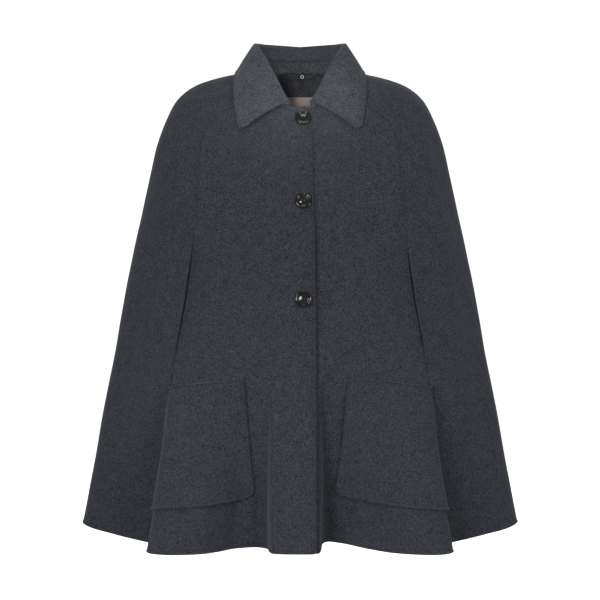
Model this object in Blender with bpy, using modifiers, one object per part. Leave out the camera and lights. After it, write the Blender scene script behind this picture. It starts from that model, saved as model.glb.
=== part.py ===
"""A hip-length wool cape with raglan wings, hollow as it hangs when it is worn.

Every size below is in millimetres until wall_object() writes a mesh in metres. +X is the wearer's left,
-Y is the front and +Z is up. The origin lies at the neck, level with the high points of the shoulders.
"""

import math
from collections import namedtuple
from functools import lru_cache

import bmesh
import bpy
import numpy as np
from mathutils import Matrix, Vector

MM = 0.001
RIGHT, LEFT = -1, 1

# Cloth and seams
CLOTH = 2.4
SEAM_GAP = 0.3
POCKET_GAP = 0.8
OVERLAP_GAP = 0.5

# The body: a row for each ring of the cape, from the neckline to the hem. The front, the wings and
# the back each have their own reach, and the two seams give where one panel meets the next.
Section = namedtuple(
    "Section",
    "name half_width side_y side_z front_y front_z wing_y wing_z back_y back_z"
    " roundness front_seam back_seam",
)
SECTIONS = (
    Section("neckline", 76, -6, -2, -76, -65, -76, -65, 62, 4, 2.0, 64, 46),
    Section("collar edge", 112, -2, -7.5, -98, -112, -98, -112, 86, -24, 3.2, 98, 86),
    Section("shoulder", 160, 0, -21.5, -108, -150, -108, -150, 98, -52, 3.0, 136, 126),
    Section("shoulder end", 190, 0, -44, -116, -195, -116, -195, 106, -92, 2.6, 150, 146),
    Section("sleeve head", 207, 0, -75, -122, -220, -122, -220, 111, -128, 2.4, 151, 151),
    Section("upper arm", 221, 0, -114, -127, -245, -127, -245, 116, -168, 2.3, 152, 154),
    Section("bust", 247, 0, -231, -133, -320, -133, -320, 128, -272, 2.15, 162, 166),
    Section("waist", 263, 2, -302, -136, -370, -135, -370, 136, -338, 2.1, 170, 177),
    Section("hip", 294, 5, -466, -143, -500, -134, -500, 156, -487, 2.1, 193, 207),
    Section("hem", 340, 10, -704, -152, -730, -94, -743, 190, -730, 2.0, 213, 252),
)
HEM = len(SECTIONS) - 1

# Rows of the cloth, as levels between the sections
SLIT_TOP, SLIT_BOTTOM = 5.75, 7.9
UPPER_LEVELS = (0, 0.12, 0.4, 0.9, 1.4, 1.9, 2.5, 3.1, 3.9, 4.8)
SLIT_ROWS = 5
LOWER_ROWS = 6

# Centre front: how far each front reaches past the middle, at the neck and at the hem
TOP_LAP_NECK, TOP_LAP_HEM = 17.5, 25.0
UNDER_LAP = 15.0
LAP_CORNER, LAP_CORNER_LEVELS = 5.0, 0.25
LAP_BLEND = 34.0

# Steps of the searches and of the slopes that are measured, in levels or radians
SEARCH_STEPS = 40
PROBE = 0.02

# The hem of each front seen from above: how far out from the middle and how far forward each point
# is, and where the same line of cloth lies above the folds.
HemPoint = namedtuple("HemPoint", "name out forward lift top_out")
RIGHT_HEM = (
    HemPoint("front edge", -25, 153, 0, -22),
    HemPoint("roll", 8, 154, 0, 8),
    HemPoint("roll edge", 38, 151, 0, 38),
    HemPoint("roll turn", 44, 139, 0, 44),
    HemPoint("trough wall", 48, 112, 1, 48),
    HemPoint("trough", 68, 98, 2, 62),
    HemPoint("trough end", 95, 104, 1, 85),
    HemPoint("rise", 122, 134, 0, 107),
    HemPoint("bulge", 152, 162, 0, 130),
    HemPoint("bulge side", 190, 171, 0, 156),
    HemPoint("side fold", 219, 160, 0, 178),
    HemPoint("fold turn", 226, 141, 0, 184),
    HemPoint("return", 221, 106, 0, 188.5),
)
LEFT_HEM = (
    HemPoint("front edge", -15, 153, 0, -15),
    HemPoint("roll", 12, 153, 0, 12),
    HemPoint("roll edge", 27, 149, 0, 27),
    HemPoint("roll turn", 30, 134, 2, 31),
    HemPoint("trough wall", 32, 102, 6, 34),
    HemPoint("trough", 43, 82, 8, 43),
    HemPoint("trough end", 66, 88, 6, 62),
    HemPoint("slope", 102, 116, 2, 88),
    HemPoint("rise", 135, 143, 0, 114),
    HemPoint("bulge", 166, 163, 0, 138),
    HemPoint("bulge side", 197, 171, 0, 160),
    HemPoint("side fold", 220, 160, 0, 178),
    HemPoint("fold turn", 226, 141, 0, 184),
    HemPoint("return", 221, 106, 0, 188.5),
)
HEMS = {RIGHT: RIGHT_HEM, LEFT: LEFT_HEM}
FRONT_NAMES = {RIGHT: "front_right", LEFT: "front_left"}
FOLD_START_Z = -425
FOLD_GROWTH = 1.25

# Soft folds: where each runs across its panel, from 0 at the panel's first edge to 1 at its last, and
# the levels where it starts and where it stands out most
Fold = namedtuple("Fold", "name panel share_top share_most level_top level_most half_share height")
FOLDS = (
    Fold("right chest ridge", "front_right", 0.84, 0.83, 4.4, 6.6, 0.16, 3.5),
    Fold("left bust ridge", "front_left", 0.46, 0.48, 4.4, 5.9, 0.14, 2.5),
    Fold("left chest ridge", "front_left", 0.91, 0.88, 3.8, 5.4, 0.12, 3.0),
    Fold("right wing front", "wing_right", 0.16, 0.18, 2.6, 4.6, 0.13, 3.5),
    Fold("right wing side", "wing_right", 0.40, 0.38, 5.6, 9.0, 0.12, 4.0),
    Fold("right wing back", "wing_right", 0.80, 0.79, 5.2, 9.0, 0.14, 13.0),
    Fold("left wing front", "wing_left", 0.18, 0.22, 2.8, 5.6, 0.14, 3.5),
    Fold("left wing side", "wing_left", 0.42, 0.36, 6.0, 9.0, 0.12, 4.0),
    Fold("left wing back", "wing_left", 0.79, 0.81, 5.0, 9.0, 0.14, 12.0),
    Fold("back right flute", "back", 0.25, 0.20, 4.8, 9.0, 0.15, 22.0),
    Fold("back middle flute", "back", 0.48, 0.47, 5.4, 9.0, 0.11, 15.0),
    Fold("back left flute", "back", 0.74, 0.78, 4.9, 9.0, 0.16, 23.0),
)

# Arm slits, between the front panel and the wing
SLIT_OPEN = 4.5
SLIT_END_LEVELS = 0.05
WING_LIFT = 11.0
PANEL_SINK = 10.0
SLIT_BLEND = 60.0
SLIT_SHARPNESS = 0.55

# Columns of each panel
FRONT_COLUMNS_PER_ROW = 1.5
WING_COLUMNS = 13
WING_CROWDING = 1.3
BACK_COLUMNS = 18

# The collar: its fold line above the neckline, by the angle round the neck from the front
Roll = namedtuple("Roll", "angle height scale radius stand_share bulge")
ROLLS = (
    Roll(12.9, 8.5, 1.00, 2.6, 0.33, 5.0),
    Roll(20, 19, 0.99, 3.0, 0.36, 5.5),
    Roll(32, 35, 0.97, 3.4, 0.42, 5.0),
    Roll(52, 47, 0.94, 3.6, 0.45, 2.5),
    Roll(70, 50, 0.915, 3.6, 0.46, 0.8),
    Roll(90, 47, 0.90, 3.6, 0.46, 0.5),
    Roll(135, 47, 0.90, 3.8, 0.46, 1.5),
    Roll(180, 45, 0.91, 3.8, 0.46, 2.5),
)
LeafEdge = namedtuple("LeafEdge", "angle level edge_angle")
LEAF_EDGE = (
    LeafEdge(12.9, 1.18, 37),
    LeafEdge(32, 1.02, 52),
    LeafEdge(52, 0.90, 64),
    LeafEdge(70, 0.76, 76),
    LeafEdge(90, 0.64, 92),
    LeafEdge(135, 0.74, 135),
    LeafEdge(180, 0.80, 180),
)
COLLAR_ANGLES = (12.9, 14.5, 17, 20.5, 25, 32, 41, 51, 60, 68, 75, 81, 87, 93, 101, 112, 128, 145, 162)
COLLAR_SEAT = 0.75
LEAF_CORNER = 15.0
LEAF_CLEARANCE = 3.5
LEAF_FALL_STEPS = 4
ROLL_ARC_STEPS = 4

# Pockets: distances out from the middle at the top and the bottom, and the height of each corner
Pocket = namedtuple("Pocket", "name side top_in top_in_z top_out_z bottom_in bottom_in_z bottom_out_z")
POCKETS = (
    Pocket("pocket_right", RIGHT, 82, -471, -488, 69, -652, -672),
    Pocket("pocket_left", LEFT, 72, -468, -488, 54, -650, -674),
)
POCKET_ROWS = 8
POCKET_EDGE_COLUMNS = (0, 0.1, 0.25, 0.5)
POCKET_LEAST_STEP = 0.06
POCKET_CORNER = 14.0

# Buttons
BUTTON_RADIUS = 12.5
ButtonPoint = namedtuple("ButtonPoint", "name from_middle height")
BUTTON_PROFILE = (
    ButtonPoint("dish middle", 0.0, 2.9),
    ButtonPoint("dish edge", 7.6, 2.9),
    ButtonPoint("rim inside", 9.4, 4.05),
    ButtonPoint("rim top", 10.6, 4.4),
    ButtonPoint("rim outside", 11.7, 4.05),
    ButtonPoint("edge", BUTTON_RADIUS, 2.7),
    ButtonPoint("under edge", 11.8, 1.2),
    ButtonPoint("foot", 8.9, 0.0),
    ButtonPoint("foot middle", 0.0, 0.0),
)
BUTTON_HOLES = 4
BUTTON_HOLE_RADIUS, BUTTON_HOLE_OFFSET, BUTTON_HOLE_DEPTH, BUTTON_HOLE_SIDES = 1.1, 2.3, 13.0, 8
BUTTON_X = 5.0
BUTTON_HEIGHTS = (-83.0, -209.0, -355.0)
BUTTON_SEAT = 0.4
BUTTON_SIDES = 20
MERGE_DISTANCE = 0.00001

# Inside the back of the neck
LOOP_LENGTH, LOOP_SAG, LOOP_WIDTH, LOOP_THICKNESS = 50.0, 5.0, 5.0, 1.6
LOOP_Z, LOOP_LEAN, LOOP_STEPS = 1.5, 0.4, 12
STUD_RADIUS, STUD_FACE_RADIUS, STUD_THICKNESS = 4.3, 3.0, 2.6
STUD_X, STUD_Z = 3.5, 2.0
LABEL_WIDTH, LABEL_TOP, LABEL_BOTTOM, LABEL_THICKNESS = 58.0, -28.0, -60.0, 0.8
LABEL_GAP = 0.6
LABEL_ROWS, LABEL_COLUMNS = 4, 9

# Finishes: base colour, roughness and metallic value, and the angle above which an edge looks sharp
SHARP_ANGLE = 50
FINISHES = {
    "wool": ((0.042, 0.045, 0.053), 0.95, 0.0),
    "collar_wool": ((0.056, 0.060, 0.068), 0.95, 0.0),
    "button_black": ((0.006, 0.006, 0.007), 0.12, 0.0),
    "satin": ((0.16, 0.14, 0.12), 0.5, 0.0),
    "fitting": ((0.01, 0.01, 0.01), 0.2, 0.6),
}


def smooth_curve(places, values, at):
    """The value at a place on the monotone cubic through the given ones, so that nothing overshoots."""
    at = min(max(at, places[0]), places[-1])
    last = len(places) - 1
    i = min(int(np.searchsorted(places, at, side="right")) - 1, last - 1)
    spans = [places[k + 1] - places[k] for k in range(last)]
    rises = [(values[k + 1] - values[k]) / spans[k] for k in range(last)]

    def slope(k):
        if k == 0:
            return rises[0]
        if k == last:
            return rises[-1]
        before, after = rises[k - 1], rises[k]
        return 0.0 if before * after <= 0 else 2 * before * after / (before + after)

    t = (at - places[i]) / spans[i]
    return (
        values[i] * (1 + 2 * t) * (1 - t) ** 2
        + values[i + 1] * t * t * (3 - 2 * t)
        + spans[i] * (slope(i) * t * (1 - t) ** 2 - slope(i + 1) * t * t * (1 - t))
    )


def table_value(table, field, at, by=None):
    """A column of a table at a fractional row or, where `by` names a column, at a value of that column."""
    places = [getattr(row, by) for row in table] if by else list(range(len(table)))
    return smooth_curve(places, [getattr(row, field) for row in table], at)


def unit(vector):
    return vector / np.linalg.norm(vector)


@lru_cache(None)
def section(level):
    fields = Section._fields[1:]
    return Section(f"level {level}", *(table_value(SECTIONS, field, level) for field in fields))


def angle_at(cut, out, behind=False):
    """The angle round the ring, from the front, at which it is this far out from the middle."""
    angle = math.asin((min(out / cut.half_width, 1.0)) ** (cut.roundness / 2))
    return math.pi - angle if behind else angle


def ring_point(level, angle):
    """A point of a level's ring on the wearer's left; the angle is 0 at the front and pi at the back."""
    cut = section(level)
    across = math.sin(angle) ** (2 / cut.roundness)
    along = abs(math.cos(angle)) ** (2 / cut.roundness)
    reach_y, reach_z = (cut.wing_y, cut.wing_z) if angle < math.pi / 2 else (cut.back_y, cut.back_z)
    return np.array(
        (
            cut.half_width * across,
            cut.side_y + (reach_y - cut.side_y) * along,
            cut.side_z + (reach_z - cut.side_z) * along**2,
        )
    )


def ring_normal(level, angle):
    """The direction out of the body at a point of a ring."""
    along = ring_point(level, min(angle + PROBE, math.pi)) - ring_point(level, max(angle - PROBE, 0.0))
    down = ring_point(level + PROBE, angle) - ring_point(max(level - PROBE, 0), angle)
    normal = unit(np.cross(down, along))
    return -normal if normal @ np.array((math.sin(angle), -math.cos(angle), 0.3)) < 0 else normal


def lap_edge(side, level):
    """How far out from the middle a front's edge is; it is past the middle, so it is negative."""
    if side == LEFT:
        return -UNDER_LAP
    near_neck = max(0.0, 1 - level / LAP_CORNER_LEVELS)
    return -(TOP_LAP_NECK + (TOP_LAP_HEM - TOP_LAP_NECK) * level / HEM - LAP_CORNER * near_neck**2)


def plain_front_point(level, out):
    """A point of the front before folds, this far out from the middle, on the wearer's left."""
    cut = section(level)
    seam = ring_point(level, angle_at(cut, cut.front_seam))
    seam_share = (seam[1] - cut.side_y) / (cut.front_y - cut.side_y)
    half_width = cut.front_seam / (1 - seam_share**cut.roundness) ** (1 / cut.roundness)
    share = (1 - (abs(out) / half_width) ** cut.roundness) ** (1 / cut.roundness)
    rise = (share**2 - seam_share**2) / (1 - seam_share**2)
    return np.array(
        (
            out,
            cut.side_y + (cut.front_y - cut.side_y) * share,
            seam[2] + (cut.front_z - seam[2]) * rise,
        )
    )


def fold_weight(z):
    """How far the hem's folds have grown at a height: 0 above them and 1 at the hem."""
    hem_z = SECTIONS[-1].front_z
    return max(0.0, (FOLD_START_Z - z) / (FOLD_START_Z - hem_z)) ** FOLD_GROWTH


def front_share(side, column):
    """How far across its front a column is, from 0 at the front edge to 1 at the seam."""
    hem = HEMS[side]
    seam_out = SECTIONS[HEM - 1].front_seam
    tops = [point.top_out for point in hem] + [seam_out]
    top_out = smooth_curve(list(range(len(tops))), tops, column)
    return (top_out - tops[0]) / (seam_out - tops[0])


@lru_cache(None)
def hem_shift(side, column):
    """How far the hem's folds move the cloth at a column, away from the plain front."""
    hem = HEMS[side]
    edge = lap_edge(side, HEM)
    seam = plain_front_point(HEM, section(HEM).front_seam)
    places = list(range(len(hem) + 1))
    out = smooth_curve(places, [p.out for p in hem] + [seam[0]], column)
    forward = smooth_curve(places, [p.forward for p in hem] + [-seam[1]], column)
    lift = smooth_curve(places, [p.lift for p in hem] + [0.0], column)
    plain = plain_front_point(HEM, edge + front_share(side, column) * (seam[0] - edge))
    return np.array((out - plain[0], -forward - plain[1], lift))


def front_point(side, level, column):
    """A point of a front panel, by the level and by the column counted along the hem's table."""
    cut = section(level)
    edge = lap_edge(side, level)
    out = edge + front_share(side, column) * (cut.front_seam - edge)
    point = plain_front_point(level, out)
    point = point + fold_weight(point[2]) * hem_shift(side, column)
    lap_fade = min(max((LAP_BLEND + UNDER_LAP - out) / LAP_BLEND, 0.0), 1.0)
    if side == LEFT:
        lap_fade = min(max((TOP_LAP_HEM + LAP_BLEND - out) / LAP_BLEND, 0.0), 1.0)
    lap_fade = lap_fade * lap_fade * (3 - 2 * lap_fade)
    point[1] += side * lap_fade * (CLOTH + OVERLAP_GAP) / 2
    point[1] -= soft_relief(FRONT_NAMES[side], front_share(side, column), level)
    point[0] *= side
    return point


def wing_row(side, level):
    """The wing's points at a level, from the front seam over the side to the back seam."""
    cut = section(level)
    start, end = angle_at(cut, cut.front_seam), angle_at(cut, cut.back_seam, behind=True)
    dense = np.array([ring_point(level, a) for a in np.linspace(start, end, 241)])
    shares = np.linspace(0, 1, WING_COLUMNS + 1) ** WING_CROWDING
    return resampled(dense, shares) * np.array((side, 1, 1))


def back_row(level):
    """The back's points at a level, from the seam on the wearer's right to the one on the left."""
    cut = section(level)
    start = angle_at(cut, cut.back_seam, behind=True)
    half = np.array([ring_point(level, a) for a in np.linspace(start, math.pi, 121)])
    dense = np.vstack((half * np.array((-1, 1, 1)), half[-2::-1]))
    return resampled(dense, np.linspace(0, 1, BACK_COLUMNS + 1))


def resampled(points, shares):
    """Points at the given shares of a line's length."""
    steps = np.linalg.norm(np.diff(points, axis=0), axis=1)
    run = np.concatenate(((0.0,), np.cumsum(steps))) / steps.sum()
    return np.column_stack([np.interp(shares, run, points[:, axis]) for axis in range(3)])


def grid_normals(grid):
    """The unit normals of a grid of points."""
    normals = np.cross(np.gradient(grid, axis=0), np.gradient(grid, axis=1))
    return normals / np.linalg.norm(normals, axis=2, keepdims=True)


def outward_of(grid):
    """The unit normals of a grid of points, facing away from the middle of the body."""
    normals = grid_normals(grid)
    away = grid * np.array((1, 1, 0))
    return normals if (normals * away).sum() > 0 else -normals


def levels_of_rows():
    slit = np.linspace(SLIT_TOP + SLIT_END_LEVELS, SLIT_BOTTOM - SLIT_END_LEVELS, SLIT_ROWS + 1)
    lower = np.linspace(SLIT_BOTTOM, HEM, LOWER_ROWS + 1)
    return [float(level) for level in (*UPPER_LEVELS, SLIT_TOP, *slit, *lower)]


def slit_is_open(level):
    return SLIT_TOP < level < SLIT_BOTTOM


def slit_gape(level):
    """How far the edges of an arm slit stand apart at a level, from 0 at its ends to 1."""
    top, bottom = SLIT_TOP + SLIT_END_LEVELS, SLIT_BOTTOM - SLIT_END_LEVELS
    share = min(max((level - top) / (bottom - top), 0.0), 1.0)
    return max(math.sin(math.pi * share), 0.0) ** SLIT_SHARPNESS


def soft_bump(distance):
    """A round bump, 1 at its middle and 0 from a distance of 1."""
    return math.cos(min(abs(distance), 1.0) * math.pi / 2) ** 2


def soft_relief(panel, share, level):
    """How far the soft folds of a panel raise its cloth at a share across it."""
    raised = 0.0
    for fold in FOLDS:
        if fold.panel == panel:
            grown = (level - fold.level_top) / (fold.level_most - fold.level_top)
            middle = fold.share_top + (fold.share_most - fold.share_top) * grown
            raised += fold.height * soft_bump(grown - 1) * soft_bump((share - middle) / fold.half_share)
    return raised


def add_soft_folds(panel, grid, shares, levels):
    """Moves a panel's points out along their normals where its soft folds run."""
    outward = outward_of(grid)
    for i, level in enumerate(levels):
        for j, share in enumerate(shares):
            grid[i, j] += outward[i, j] * soft_relief(panel, share, level)


def gape_slit(grid, levels, forward, from_last):
    """Moves the cloth beside a slit forward or back, most at the slit's edge."""
    edge = -1 if from_last else 0
    for i, level in enumerate(levels):
        distance = np.linalg.norm(grid[i] - grid[i, edge], axis=1)
        fade = np.clip(1 - distance / SLIT_BLEND, 0, 1) ** 2
        grid[i, :, 1] -= forward * slit_gape(level) * fade


def front_columns(side):
    rows = len(HEMS[side])
    count = int(rows * FRONT_COLUMNS_PER_ROW)
    return [float(c) for c in np.linspace(0, rows, count + 1)]


def front_grid(side, levels):
    columns = front_columns(side)
    grid = np.array([[front_point(side, level, column) for column in columns] for level in levels])
    gape_slit(grid, levels, -PANEL_SINK, from_last=True)
    return grid


def wing_grid(side, name, levels):
    shares = np.linspace(0, 1, WING_COLUMNS + 1) ** WING_CROWDING
    grid = np.array([wing_row(side, level) for level in levels])
    add_soft_folds(name, grid, shares, levels)
    gape_slit(grid, levels, WING_LIFT, from_last=False)
    return grid


def back_grid(name, levels):
    grid = np.array([back_row(level) for level in levels])
    add_soft_folds(name, grid, np.linspace(0, 1, BACK_COLUMNS + 1), levels)
    return grid


def part_seam(first, first_out, second, second_out, open_rows):
    """Parts the last column of one panel from the first of the next, and makes their edges parallel."""
    shared = first_out[:, -1] + second_out[:, 0]
    shared /= np.linalg.norm(shared, axis=1, keepdims=True)
    along = np.gradient(first[:, -1], axis=0)
    for i, open_here in enumerate(open_rows):
        apart = (SLIT_OPEN if open_here else SEAM_GAP) / 2
        if not open_here:
            first_out[i, -1] = second_out[i, 0] = shared[i]
        for grid, out, edge, inside in ((first, first_out, -1, -2), (second, second_out, 0, 1)):
            inward = unit(np.cross(out[i, edge], unit(along[i])))
            if inward @ (grid[i, inside] - grid[i, edge]) < 0:
                inward = -inward
            grid[i, edge] = grid[i, edge] + inward * apart


def wall_object(name, middle, outward, thickness, finish):
    """A closed wall of cloth lofted on both sides of a grid of middle points."""
    rows, columns = middle.shape[:2]
    outer = (middle + outward * thickness / 2).reshape(-1, 3)
    inner = (middle - outward * thickness / 2).reshape(-1, 3)
    points = np.vstack((outer, inner)) * MM
    under = rows * columns
    faces = []
    for r in range(rows - 1):
        for c in range(columns - 1):
            a, b = r * columns + c, (r + 1) * columns + c
            faces.append((a, b, b + 1, a + 1))
            faces.append((under + a, under + a + 1, under + b + 1, under + b))
    border = [r * columns for r in range(rows)]
    border += [(rows - 1) * columns + c for c in range(1, columns)]
    border += [r * columns + columns - 1 for r in range(rows - 2, -1, -1)]
    border += list(range(columns - 2, 0, -1))
    for a, b in zip(border, border[1:] + border[:1]):
        faces.append((b, a, under + a, under + b))
    mesh = bpy.data.meshes.new(name)
    mesh.from_pydata(points.tolist(), [], faces)
    work = bmesh.new()
    work.from_mesh(mesh)
    bmesh.ops.recalc_face_normals(work, faces=work.faces)
    work.to_mesh(mesh)
    work.free()
    return placed_object(name, mesh, finish)


def placed_object(name, mesh, finish):
    mesh.shade_smooth()
    mesh.set_sharp_from_angle(angle=math.radians(SHARP_ANGLE))
    mesh.materials.clear()
    mesh.materials.append(material(name, finish))
    obj = bpy.data.objects.new(name, mesh)
    PARTS.objects.link(obj)
    return obj


def material(name, finish):
    colour, roughness, metallic = FINISHES[finish]
    made = bpy.data.materials.new(f"{name}_{finish}")
    made.use_nodes = True
    shader = made.node_tree.nodes["Principled BSDF"]
    shader.inputs["Base Color"].default_value = (*colour, 1.0)
    shader.inputs["Roughness"].default_value = roughness
    shader.inputs["Metallic"].default_value = metallic
    return made


def make_body():
    """The fronts, the wings and the back, which share their seam points."""
    levels = levels_of_rows()
    grids = {
        "front_right": front_grid(RIGHT, levels),
        "front_left": front_grid(LEFT, levels),
        "wing_right": wing_grid(RIGHT, "wing_right", levels),
        "wing_left": wing_grid(LEFT, "wing_left", levels),
        "back": back_grid("back", levels),
    }
    outward = {name: outward_of(grid) for name, grid in grids.items()}
    slit_rows = [slit_is_open(level) for level in levels]
    sewn_rows = [False] * len(levels)
    for side in ("right", "left"):
        front, wing = f"front_{side}", f"wing_{side}"
        part_seam(grids[front], outward[front], grids[wing], outward[wing], slit_rows)
    part_seam(grids["wing_right"], outward["wing_right"], grids["back"], outward["back"], sewn_rows)
    flipped = grids["back"][:, ::-1], outward["back"][:, ::-1]
    part_seam(grids["wing_left"], outward["wing_left"], *flipped, sewn_rows)
    for name, grid in grids.items():
        wall_object(name, grid, outward[name], CLOTH, "wool")


def collar_frame(angle):
    """The neckline point, the fold line point and the collar's edge point at an angle, in degrees."""
    turn = math.radians(angle)
    neck = ring_point(0, turn)
    below = ring_point(LAP_CORNER_LEVELS, turn)
    scale = table_value(ROLLS, "scale", angle, by="angle")
    roll = np.array((neck[0], neck[1] - section(0).side_y, 0.0)) * scale
    roll += (0, section(0).side_y, neck[2] + table_value(ROLLS, "height", angle, by="angle"))
    edge_level = table_value(LEAF_EDGE, "level", angle, by="angle")
    edge_turn = math.radians(table_value(LEAF_EDGE, "edge_angle", angle, by="angle"))
    edge = ring_point(edge_level, edge_turn) + LEAF_CLEARANCE * ring_normal(edge_level, edge_turn)
    return neck, unit(neck - below), roll, edge


def stand_column(angle):
    neck, cloth_up, roll, _ = collar_frame(angle)
    up = unit(roll - neck)
    bend = math.sqrt(max(0.0, 1 - float(up @ cloth_up) ** 2))
    start = neck + up * (CLOTH / 2 * bend + COLLAR_SEAT)
    top = neck + (roll - neck) * table_value(ROLLS, "stand_share", angle, by="angle")
    top = top - up * COLLAR_SEAT / 2
    return [start + (top - start) * share for share in (0, 0.5, 1)]


def leaf_column(angle, front_distance):
    """The collar's middle line at an angle: up from the stand, over the fold and down to the edge."""
    neck, _, roll, edge = collar_frame(angle)
    start = neck + (roll - neck) * table_value(ROLLS, "stand_share", angle, by="angle")
    start = start + unit(roll - neck) * COLLAR_SEAT / 2
    radius = table_value(ROLLS, "radius", angle, by="angle")
    fall = unit(edge - roll)
    inwards = unit(unit(start - roll) + fall)
    across = unit(fall - (fall @ inwards) * inwards)
    centre = roll + radius * inwards
    arc = []
    for turn in np.linspace(-math.pi / 2, math.pi / 2, ROLL_ARC_STEPS + 1):
        arc.append(centre + radius * (math.sin(turn) * across - math.cos(turn) * inwards))
    cut_back = 0.0
    if front_distance < LEAF_CORNER:
        cut_back = LEAF_CORNER - math.sqrt(LEAF_CORNER**2 - (LEAF_CORNER - front_distance) ** 2)
    chord = edge - arc[-1]
    proud = unit(across - (across @ unit(chord)) * unit(chord))
    reach = 1 - cut_back / np.linalg.norm(chord)
    falls = []
    bulge = table_value(ROLLS, "bulge", angle, by="angle")
    for share in np.linspace(0, reach, LEAF_FALL_STEPS + 1)[1:]:
        falls.append(arc[-1] + chord * share + proud * bulge * 4 * share * (1 - share))
    return [start, (start + arc[0]) / 2, *arc, *falls]


def make_collar():
    """The stand and the turned-down leaf, each one wall from front end to front end."""
    edges = [collar_frame(angle)[3] for angle in COLLAR_ANGLES]
    half_stand = [stand_column(angle) for angle in COLLAR_ANGLES]
    half_leaf = []
    for angle, edge in zip(COLLAR_ANGLES, edges):
        half_leaf.append(leaf_column(angle, np.linalg.norm(edge - edges[0])))
    for name, half, last in (
        ("collar_stand", half_stand, stand_column(180)),
        ("collar_leaf", half_leaf, leaf_column(180, LEAF_CORNER)),
    ):
        left = np.array(half)
        right = left * np.array((-1, 1, 1))
        grid = np.concatenate((right, np.array([last]), left[::-1]))
        wall_object(name, grid, grid_normals(grid), CLOTH, "collar_wool")


def level_at(side, column, z):
    """The level at which a front's column is at a height."""
    low, high = 0.0, float(HEM)
    for _ in range(SEARCH_STEPS):
        level = (low + high) / 2
        if front_point(side, level, column)[2] > z:
            low = level
        else:
            high = level
    return (low + high) / 2


def column_at(side, out, z):
    """The column of a front that is this far out from the middle at a height."""
    low, high = 0.0, len(HEMS[side]) - 2.0
    for _ in range(SEARCH_STEPS):
        column = (low + high) / 2
        if abs(front_point(side, level_at(side, column, z), column)[0]) < out:
            low = column
        else:
            high = column
    return (low + high) / 2


def panel_point(grid, levels, columns, level, column):
    """A point between four of the points that a panel is made with."""
    i = min(int(np.searchsorted(levels, level, side="right")) - 1, len(levels) - 2)
    j = min(int(np.searchsorted(columns, column, side="right")) - 1, len(columns) - 2)
    down = (level - levels[i]) / (levels[i + 1] - levels[i])
    across = (column - columns[j]) / (columns[j + 1] - columns[j])
    upper = grid[i, j] * (1 - across) + grid[i, j + 1] * across
    lower = grid[i + 1, j] * (1 - across) + grid[i + 1, j + 1] * across
    return upper * (1 - down) + lower * down


def make_pocket(pocket):
    """A patch pocket on a front, made from the front's own points moved out."""
    side = pocket.side
    levels = levels_of_rows()
    panel = front_grid(side, levels)
    panel_columns = front_columns(side)
    last = panel_columns[-2]
    top_first = column_at(side, pocket.top_in, pocket.top_in_z)
    bottom_first = column_at(side, pocket.bottom_in, pocket.bottom_in_z)
    corner_end = POCKET_EDGE_COLUMNS[-1]
    start = min(top_first, bottom_first) + corner_end
    shared = [column for column in panel_columns if start < column <= last]
    grid = []
    for down in np.linspace(0, 1, POCKET_ROWS + 1):
        first = top_first + (bottom_first - top_first) * down
        columns = [first + step for step in POCKET_EDGE_COLUMNS]
        for k, column in enumerate(shared):
            columns.append(max(column, first + corner_end + POCKET_LEAST_STEP * (k + 1)))
        row = []
        for column in columns:
            across = (column - first) / (last - first)
            top_z = pocket.top_in_z + (pocket.top_out_z - pocket.top_in_z) * across
            bottom_z = pocket.bottom_in_z + (pocket.bottom_out_z - pocket.bottom_in_z) * across
            to_corner = max(0.0, 1 - (column - first) / corner_end)
            bottom_z += POCKET_CORNER * (1 - math.sqrt(1 - to_corner**2))
            level = level_at(side, column, top_z + (bottom_z - top_z) * down)
            row.append(panel_point(panel, levels, panel_columns, level, column))
        grid.append(row)
    grid = np.array(grid)
    outward = outward_of(grid)
    wall_object(pocket.name, grid + outward * (CLOTH + POCKET_GAP), outward, CLOTH, "wool")


def button_mesh():
    """A turned button with a raised rim, a dish and four holes."""
    mesh = bpy.data.meshes.new("button_profile")
    points = [(point.from_middle * MM, 0.0, point.height * MM) for point in BUTTON_PROFILE]
    mesh.from_pydata(points, [(i, i + 1) for i in range(len(points) - 1)], [])
    turned = bpy.data.objects.new("button_turned", mesh)
    CUTTERS.objects.link(turned)
    screw = turned.modifiers.new("turn", "SCREW")
    screw.steps = screw.render_steps = BUTTON_SIDES
    screw.use_merge_vertices = True
    screw.merge_threshold = MERGE_DISTANCE
    for number in range(BUTTON_HOLES):
        angle = 2 * math.pi * (number + 0.5) / BUTTON_HOLES
        place = Vector((math.cos(angle), math.sin(angle), 0)) * BUTTON_HOLE_OFFSET * MM
        work = bmesh.new()
        bmesh.ops.create_cone(
            work,
            cap_ends=True,
            segments=BUTTON_HOLE_SIDES,
            radius1=BUTTON_HOLE_RADIUS * MM,
            radius2=BUTTON_HOLE_RADIUS * MM,
            depth=BUTTON_HOLE_DEPTH * MM,
        )
        hole_mesh = bpy.data.meshes.new(f"button_hole_{number + 1}")
        work.to_mesh(hole_mesh)
        work.free()
        hole = bpy.data.objects.new(hole_mesh.name, hole_mesh)
        hole.location = place
        CUTTERS.objects.link(hole)
        cut = turned.modifiers.new(hole.name, "BOOLEAN")
        cut.operation = "DIFFERENCE"
        cut.object = hole
    for helper in CUTTERS.objects:
        helper.hide_render = True
        helper.display_type = "WIRE"
    bpy.context.view_layer.update()
    graph = bpy.context.evaluated_depsgraph_get()
    made = bpy.data.meshes.new_from_object(turned.evaluated_get(graph))
    made.name = "button"
    return made


def facing(point, outward, up=(0, 0, 1)):
    """A placing matrix with its own Z along `outward`, at a point given in millimetres."""
    z = Vector(outward).normalized()
    x = Vector(up).cross(z).normalized()
    y = z.cross(x)
    turn = Matrix((x, y, z)).transposed().to_4x4()
    return Matrix.Translation(Vector(point) * MM) @ turn


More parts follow.
